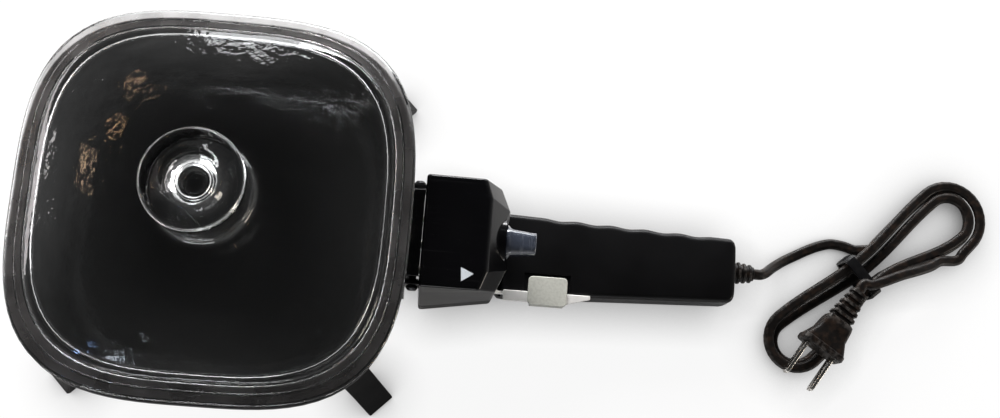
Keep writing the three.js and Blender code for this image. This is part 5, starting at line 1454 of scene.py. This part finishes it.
def grip_ring(x, sizes, end_inset):
    """The grip's upper half cut across at x: flat below, rounded and slightly crowned above."""
    share = (x - HEAD_HIGH.x) / (GRIP_HIGH.x - HEAD_HIGH.x)
    near = mix(*GRIP_NEAR, share) - end_inset
    far = mix(*GRIP_FAR, share) - end_inset
    if FINGER_SPAN[0] < share < FINGER_SPAN[1]:
        along = (share - FINGER_SPAN[0]) / (FINGER_SPAN[1] - FINGER_SPAN[0])
        far -= sizes.finger_depth * math.sin(math.pi * sizes.finger_count * along) ** 2
    top = GRIP_HIGH.z - sizes.grip_crown - end_inset * END_DROP_SHARE
    edge = sizes.grip_edge
    ring = [(x, -near, GRIP_LOW.z), (x, far, GRIP_LOW.z)]
    left, right = far - edge, -near + edge
    ring += [(x, left + edge * c, top - edge + edge * s) for s, c in quarter()]
    for k in range(1, CROWN_STEPS):
        across = k / CROWN_STEPS
        ring.append((x, mix(left, right, across), top + sizes.grip_crown * math.sin(math.pi * across)))
    ring += [(x, right - edge * s, top - edge + edge * c) for s, c in quarter()]
    return ring


class SKILLET_OT_grip(bpy.types.Operator):
    """Moulds the grip: an upper half with finger hollows and the lever's channel, and the long lower half."""

    bl_idname = "skillet.grip"
    bl_label = "Grip"

    def execute(self, context):
        sizes = context.scene.skillet_handle
        soft = GRIP_END_SOFT
        straight_end = GRIP_HIGH.x - soft
        stations = [(mix(GRIP_LOW.x, straight_end, k / GRIP_STATIONS), 0.0) for k in range(GRIP_STATIONS)]
        stations += [(straight_end + soft * s, soft * (1 - c)) for s, c in quarter()]
        grip = lofted([grip_ring(x, sizes, inset) for x, inset in stations])
        above = GRIP_HIGH.z + OVERRUN
        beyond = -HEAD_FRONT_HALF
        channel = block(
            (GRIP_LOW.x - OVERRUN, beyond, STRIP_CHANNEL_Z),
            (STRIP_CHANNEL_END, STRIP_CHANNEL_Y, above),
        )
        recess = block(
            (TAB_LOW.x - TAB_MARGIN, beyond, GRIP_HIGH.z - TAB_RECESS_DEPTH),
            (TAB_HIGH.x + TAB_MARGIN, TAB_HIGH.y + TAB_MARGIN, above),
        )
        carve(grip, channel, recess)
        weighted(grip)
        settle(grip, "upper_grip", "handle", "black_satin", "grip_top", angle=None)
        base = soft_copy("handle_base", MOULDING_SOFT)
        weighted(base)
        settle(base, "lower_moulding", "handle", "black_satin", "handle_base", angle=None)
        return {"FINISHED"}


BEZEL_SOFT = 0.0004
BEZEL_BORE = 0.004
KNOB_ROWS = [
    # x from the knob's foot, half width, half height, exponent, share of the flutes
    (0.0003, 0.0066, 0.0066, 2.0, 0.0),
    (0.0006, 0.0071, 0.0071, 2.0, 0.0),
    (0.0012, 0.0072, 0.0072, 2.0, 0.0),
    (0.0018, 0.0070, 0.0071, 2.1, 0.0),
    (0.0023, 0.0063, 0.0068, 2.6, 0.2),
    (0.0027, 0.0059, 0.0066, 3.4, 0.6),
    (0.0040, 0.0057, 0.0064, 3.2, 1.0),
    (0.0070, 0.0054, 0.0061, 3.2, 1.0),
    (0.0100, 0.0050, 0.0058, 3.2, 0.9),
    (0.0118, 0.0048, 0.0056, 3.2, 0.6),
    (0.0127, 0.0045, 0.0053, 4.0, 0.2),
    (0.0131, 0.0039, 0.0047, 3.8, 0.0),
    (0.0132, 0.0028, 0.0036, 3.4, 0.0),
]


def knob_ring(row, flute):
    """A ring of the control knob square to its axis, from a row of its table."""
    along, half_y, half_z, exponent, share = row
    ring = []
    for k in range(ROUND_SIDES):
        turn = 2 * math.pi * k / ROUND_SIDES
        c, s = math.cos(turn), math.sin(turn)
        y = half_y * math.copysign(abs(c) ** (2 / exponent), c)
        z = half_z * math.copysign(abs(s) ** (2 / exponent), s)
        y -= math.copysign(flute * share * (1 - (z / half_z) ** 2) * abs(y) / half_y, y)
        ring.append((KNOB_LOW.x + along, y, KNOB_AXIS_Z + z))
    return ring


class SKILLET_OT_control(bpy.types.Operator):
    """Moulds the smoked control knob, with its round foot, and the bezel behind it."""

    bl_idname = "skillet.control"
    bl_label = "Control knob"

    def execute(self, context):
        flute = context.scene.skillet_handle.knob_flute
        knob = lofted([knob_ring(row, flute) for row in eased(KNOB_ROWS, SECTION_STEPS)])
        settle(knob, "smoked_knob", "control", "smoke", "control_knob", angle=ROUND_ANGLE)
        radius = (BEZEL_HIGH.y - BEZEL_LOW.y) / 2
        centre = (0.0, KNOB_AXIS_Z)
        bezel = lofted([
            round_ring(BEZEL_LOW.x, radius, centre),
            round_ring(BEZEL_HIGH.x - BEZEL_SOFT, radius, centre),
            round_ring(BEZEL_HIGH.x, radius - BEZEL_SOFT, centre),
        ])
        carve(bezel, disc_along_x((BEZEL_LOW.x - OVERRUN, BEZEL_HIGH.x + OVERRUN), BEZEL_BORE, centre))
        settle(bezel, "smoked_bezel", "handle", "smoke", "knob_bezel")
        return {"FINISHED"}


TAB_CORNER = 0.0022
TAB_PLATE = 0.0012
TAB_SOFT = 0.0003
TAB_SKIRT = 0.0009
LEVER_SOFT = 0.00025


class SKILLET_OT_lever(bpy.types.Operator):
    """Finishes the release lever and its painted finger tab."""

    bl_idname = "skillet.lever"
    bl_label = "Lever"

    def execute(self, context):
        lever = soft_copy("lever", LEVER_SOFT)
        weighted(lever)
        settle(lever, "release_lever", "lever", "steel", "lever", finish="plating", angle=None)
        foot, top = TAB_HIGH.z - TAB_PLATE, TAB_HIGH.z
        levels = [(foot, TAB_SOFT), (foot + TAB_SOFT, 0.0), (top - TAB_SOFT, 0.0), (top, TAB_SOFT)]
        rings = []
        for z, inset in levels:
            outline = rectangle([low + inset for low in TAB_LOW], [high - inset for high in TAB_HIGH])
            rings.append([(x, y, z) for x, y in rounded_polygon(outline, TAB_CORNER - inset)])
        tab = lofted(rings)
        skirt = block(
            (TAB_LOW.x + TAB_CORNER / 2, TAB_LOW.y, TAB_LOW.z),
            (TAB_HIGH.x - TAB_CORNER / 2, TAB_LOW.y + TAB_SKIRT, top - TAB_SOFT),
        )
        with_modifier(skirt, "BEVEL", width=TAB_SOFT, segments=ROUND_SEGMENTS)
        carve(tab, skirt, operation="UNION")
        weighted(tab)
        settle(tab, "finger_tab", "lever", "tab_steel", "lever_tab", angle=None)
        return {"FINISHED"}


RELIEF_RADII = (0.0055, 0.0040)
RELIEF_RIBS = 4
RELIEF_GROOVE = 0.0009
RELIEF_END_SHARE = 1.1  # depth of the last row, as a share of the groove
# Along each rib: place as a share of the rib, depth as a share of the groove
RELIEF_RIB_SHARES = ((0.04, 0.25), (0.14, 0.0), (0.44, 0.0), (0.54, 0.25), (0.6, 1.0), (0.96, 1.0))
RELIEF_FLANGE_RADIUS = 0.0066
RELIEF_FLANGE_LENGTH = 0.0020


class SKILLET_OT_relief(bpy.types.Operator):
    """Moulds the ribbed strain relief at the grip's end."""

    bl_idname = "skillet.relief"
    bl_label = "Strain relief"

    def execute(self, context):
        centre = (0.0, CORD_Z)
        start, wall_end, end = RELIEF_LOW.x, GRIP_HIGH.x, RELIEF_HIGH.x
        flange_end = start + RELIEF_FLANGE_LENGTH
        rings = [
            round_ring(start, RELIEF_FLANGE_RADIUS, centre),
            round_ring(flange_end, RELIEF_FLANGE_RADIUS, centre),
            round_ring(flange_end, RELIEF_RADII[0], centre),
            round_ring(wall_end, RELIEF_RADII[0], centre),
        ]
        rib = (end - wall_end) / RELIEF_RIBS
        for k in range(RELIEF_RIBS):
            radius = mix(*RELIEF_RADII, (k + 1) / RELIEF_RIBS)
            for part, drop in RELIEF_RIB_SHARES:
                rings.append(round_ring(wall_end + (k + part) * rib, radius - RELIEF_GROOVE * drop, centre))
        rings.append(round_ring(end, RELIEF_RADII[1] - RELIEF_GROOVE * RELIEF_END_SHARE, centre))
        relief = lofted(rings)
        settle(relief, "ribbed_relief", "handle", "cord_rubber", "strain_relief", angle=ROUND_ANGLE)
        return {"FINISHED"}


# Plain metal and ceramic pieces: their edges are softened, and heads that face down get a cross recess

# How far each piece's edges are softened
SOFT_NODES = {
    "handle_bracket": 0.0003, "heating_element": 0.0, "probe_rod": 0.0003, "lever_pin": 0.0002,
    "terminal_pin_left": 0.0003, "terminal_pin_right": 0.0003,
    "pin_insulator_left": 0.0003, "pin_insulator_right": 0.0003,
    "catch_stud_left": 0.0002, "catch_stud_right": 0.0002,
    "bracket_screw_left": 0.0003, "bracket_screw_right": 0.0003,
}
BLACKENED_NODES = (
    "handle_bracket", "catch_stud_left", "catch_stud_right", "bracket_screw_left", "bracket_screw_right",
)
SCREW_NODES = [
    "leg_screw_front_right", "leg_screw_front_left", "leg_screw_rear_left", "leg_screw_rear_right",
    "head_screw_left", "head_screw_right", "grip_screw_1", "grip_screw_2",
]
HOOD_HALF = 0.0175
HOOD_SHEET = 0.0012
HOOD_GAP = 0.0002
CROSS_LENGTH_SHARE = 0.55
CROSS_WIDTH_SHARE = 0.16
CROSS_DEPTH = 0.0008
SCREW_SOFT = 0.0003


def cross_recess(piece, node):
    """Cuts a cross into the head that faces down."""
    low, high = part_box(node)
    middle = (low + high) / 2
    span = high.x - low.x
    for long_x in (True, False):
        reach_x = span * (CROSS_LENGTH_SHARE if long_x else CROSS_WIDTH_SHARE) / 2
        reach_y = span * (CROSS_WIDTH_SHARE if long_x else CROSS_LENGTH_SHARE) / 2
        carve(piece, block(
            (middle.x - reach_x, middle.y - reach_y, low.z - OVERRUN),
            (middle.x + reach_x, middle.y + reach_y, low.z + CROSS_DEPTH),
        ))


class SKILLET_OT_fittings(bpy.types.Operator):
    """Finishes the bracket, pins, studs, screws and every inner piece."""

    bl_idname = "skillet.fittings"
    bl_label = "Fittings"

    def execute(self, context):
        slots = {part["node"]: part["material_slot"] for part in frame["record"]["subparts"]}
        for node, width in SOFT_NODES.items():
            finish = "blackened" if node in BLACKENED_NODES else None
            softened(node, f"{node}_finished", width, slots[node], finish)
        self.hood()
        for node in SCREW_NODES:
            piece = soft_copy(node, SCREW_SOFT)
            cross_recess(piece, node)
            settle(piece, f"{node}_finished", frame["nodes"][node]["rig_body"], "steel", node)
        for node, piece in frame["nodes"].items():
            if not piece.hide_render:
                piece.data.materials.clear()
                piece.data.materials.append(finish_named(slots[node]))
        return {"FINISHED"}

    def hood(self):
        """The bracket's top edge, folded forward over the pins, in glossy black: a dark sheet that stands in
        as painted shade over the gap between pan and head.
        """
        low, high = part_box("handle_bracket")
        hood = block((low.x, -HOOD_HALF, high.z - HOOD_SHEET), (HEAD_LOW.x - HOOD_GAP, HOOD_HALF, high.z))
        with_modifier(hood, "BEVEL", width=HOOD_SHEET / 4, segments=ROUND_SEGMENTS)
        weighted(hood)
        # painted shade: the glossy black hood darkens the gap between the lid's edge and the head
        settle(hood, "bracket_hood", "pan", "steel", finish="black_gloss", angle=None)


# Finishes and studio

LAMPS = [
    # name, place, width, height, colour, share of the power, whether reflections and glass show it
    ("far_fill", (-0.26, 1.06, 0.52), 0.70, 0.50, (1.0, 0.98, 0.97), 4.4, False),
    ("left_fill", (-1.08, 0.24, 0.50), 0.50, 0.40, (1.0, 0.96, 0.95), 1.3, False),
    ("left_wall", (-1.20, 0.40, 0.17), 1.10, 0.20, (1.0, 0.95, 0.96), 0.8, True),
    ("far_wall", (0.25, 1.25, 0.26), 1.30, 0.34, (0.97, 0.98, 1.0), 2.0, True),
    ("warm", (1.20, -0.40, 0.24), 0.50, 0.22, (1.0, 0.90, 0.78), 0.5, True),
    ("near_soft", (-0.25, -1.20, 0.22), 0.90, 0.20, (0.96, 0.98, 1.0), 0.6, True),
    ("warm_bulb", (-0.62, 0.34, 0.62), 0.12, 0.012, (1.0, 0.62, 0.34), 0.010, True),
    ("warm_bulb_low", (-0.74, 0.20, 0.52), 0.10, 0.010, (1.0, 0.70, 0.45), 0.008, True),
    ("warm_bulb_far", (-0.50, 0.58, 0.52), 0.12, 0.010, (1.0, 0.66, 0.40), 0.008, True),
    ("cool_bulb", (-0.40, -0.62, 0.50), 0.06, 0.02, (0.80, 0.88, 1.0), 0.012, True),
    ("blue_bulb", (-0.52, -0.50, 0.46), 0.04, 0.02, (0.35, 0.55, 1.0), 0.010, True),
    ("knob_glint", (0.05, 0.70, 0.23), 0.22, 0.08, (1.0, 1.0, 1.0), 0.28, True),
    ("far_line", (0.10, 0.62, 0.66), 0.70, 0.006, (0.92, 0.95, 1.0), 0.020, True),
]
LAMP_TARGET = (0.03, 0.0, 0.04)
FLOOR_SIZE = 16.0
FLOOR_DIVISIONS = 8
CLIP_START = 0.01
NEW_STEP_PLACE = 0.5  # a new step of the sky starts here and is then moved to its place
SKY_STEPS = [(0.0, 1.0), (0.25, 0.55), (0.6, 0.18), (1.0, 0.03)]  # height above the horizon, brightness


class SKILLET_OT_finishes(bpy.types.Operator):
    """Mixes every finish from the colours in the panel."""

    bl_idname = "skillet.finishes"
    bl_label = "Finishes"

    def execute(self, context):
        for make_effect in EFFECT_MAKERS:
            make_effect()
        for make_finish in FINISH_MAKERS:
            make_finish(context.scene.skillet_colours)
        return {"FINISHED"}


class SKILLET_OT_stage(bpy.types.Operator):
    """Sets the pale floor, the lamps, the sky and the camera."""

    bl_idname = "skillet.stage"
    bl_label = "Studio"

    def execute(self, context):
        studio = context.scene.skillet_studio
        context.scene.view_settings.view_transform = "Standard"
        self.place_camera(context.scene, studio)
        self.lay_floor()
        for lamp in LAMPS:
            self.hang_lamp(studio.lamp_power, *lamp)
        self.light_sky(context.scene, studio.sky_strength)
        return {"FINISHED"}

    def place_camera(self, scene, studio):
        """The camera, as the panel sets it."""
        select_only()
        bpy.ops.object.camera_add(location=studio.camera_place, rotation=studio.camera_turn)
        scene.camera = bpy.context.object
        scene.camera.data.lens = studio.lens
        scene.camera.data.clip_start = CLIP_START

    def lay_floor(self):
        """The pale floor, which is no part of the skillet."""
        select_only()
        counts = {"x_subdivisions": FLOOR_DIVISIONS, "y_subdivisions": FLOOR_DIVISIONS}
        bpy.ops.mesh.primitive_grid_add(size=FLOOR_SIZE, **counts)
        floor = bpy.context.object
        floor.name = "pale_floor"
        floor.data.materials.append(finish_named("floor"))

    def hang_lamp(self, power, name, place, width, height, colour, share, mirrored):
        """One lamp from its row of the table, turned to the skillet."""
        select_only()
        bpy.ops.object.light_add(type="AREA", location=place)
        lamp = bpy.context.object
        lamp.name = name
        lamp.data.shape = "RECTANGLE"
        lamp.data.size, lamp.data.size_y = width, height
        lamp.data.color = colour
        lamp.data.energy = power * share
        lamp.visible_glossy = mirrored
        lamp.visible_transmission = mirrored
        lamp.rotation_euler = (Vector(LAMP_TARGET) - Vector(place)).to_track_quat("-Z", "Y").to_euler()

    def light_sky(self, scene, strength):
        """A pale horizon that darkens upwards; the camera itself sees plain white."""
        world = bpy.data.worlds.new("studio_sky")
        world.use_nodes = True
        scene.world = world
        tree = world.node_tree
        background = tree.nodes["Background"]
        place = tree.nodes.new("ShaderNodeTexCoord").outputs["Generated"]
        height = tree.nodes.new("ShaderNodeSeparateXYZ")
        tree.links.new(place, height.inputs["Vector"])
        ramp = tree.nodes.new("ShaderNodeValToRGB")
        while len(ramp.color_ramp.elements) < len(SKY_STEPS):
            ramp.color_ramp.elements.new(NEW_STEP_PLACE)
        for element, (position, brightness) in zip(ramp.color_ramp.elements, SKY_STEPS):
            element.position = position
            element.color = (brightness, brightness, brightness, 1.0)
        tree.links.new(height.outputs["Z"], ramp.inputs["Fac"])
        seen = tree.nodes.new("ShaderNodeLightPath").outputs["Is Camera Ray"]
        colour = mixed(tree, "RGBA", seen, ramp.outputs["Color"], (1.0, 1.0, 1.0, 1.0))
        tree.links.new(colour, background.inputs["Color"])
        tree.links.new(mixed(tree, "FLOAT", seen, strength, 1.0), background.inputs["Strength"])


STEP_OPERATORS = (
    SKILLET_OT_finishes, SKILLET_OT_stage, SKILLET_OT_plug, SKILLET_OT_cord, SKILLET_OT_pan,
    SKILLET_OT_legs, SKILLET_OT_lid, SKILLET_OT_head, SKILLET_OT_grip, SKILLET_OT_control,
    SKILLET_OT_lever, SKILLET_OT_relief, SKILLET_OT_fittings,
)
SETTINGS = {
    "skillet_pan": PanSizes,
    "skillet_lid": LidSizes,
    "skillet_handle": HandleSizes,
    "skillet_cord": CordSizes,
    "skillet_colours": FinishColours,
    "skillet_studio": StudioSettings,
}


class SKILLET_PT_sidebar(bpy.types.Panel):
    """Lists the pieces' operators and their sizes."""

    bl_idname = "SKILLET_PT_sidebar"
    bl_label = "Skillet"
    bl_space_type = "VIEW_3D"
    bl_region_type = "UI"
    bl_category = "Skillet"

    def draw(self, context):
        for step in STEP_OPERATORS:
            self.layout.operator(step.bl_idname)
        for attribute, group in SETTINGS.items():
            box = self.layout.box()
            box.label(text=group.__doc__)
            settings = getattr(context.scene, attribute)
            for prop in group.__annotations__:
                box.prop(settings, prop)


CLASSES = [*SETTINGS.values(), *STEP_OPERATORS, SKILLET_PT_sidebar]


def register():
    """Registers the classes and hangs the settings on the scene."""
    for cls in CLASSES:
        bpy.utils.register_class(cls)
    for attribute, group in SETTINGS.items():
        setattr(bpy.types.Scene, attribute, bpy.props.PointerProperty(type=group))


def unregister():
    """Takes the settings and the classes away again."""
    for attribute in SETTINGS:
        delattr(bpy.types.Scene, attribute)
    for cls in reversed(CLASSES):
        bpy.utils.unregister_class(cls)


def main():
    """Builds the whole skillet."""
    register()
    for step in STEP_OPERATORS:
        getattr(bpy.ops.skillet, step.bl_idname.split(".")[1])()
    select_only()


if __name__ == "__main__":
    main()
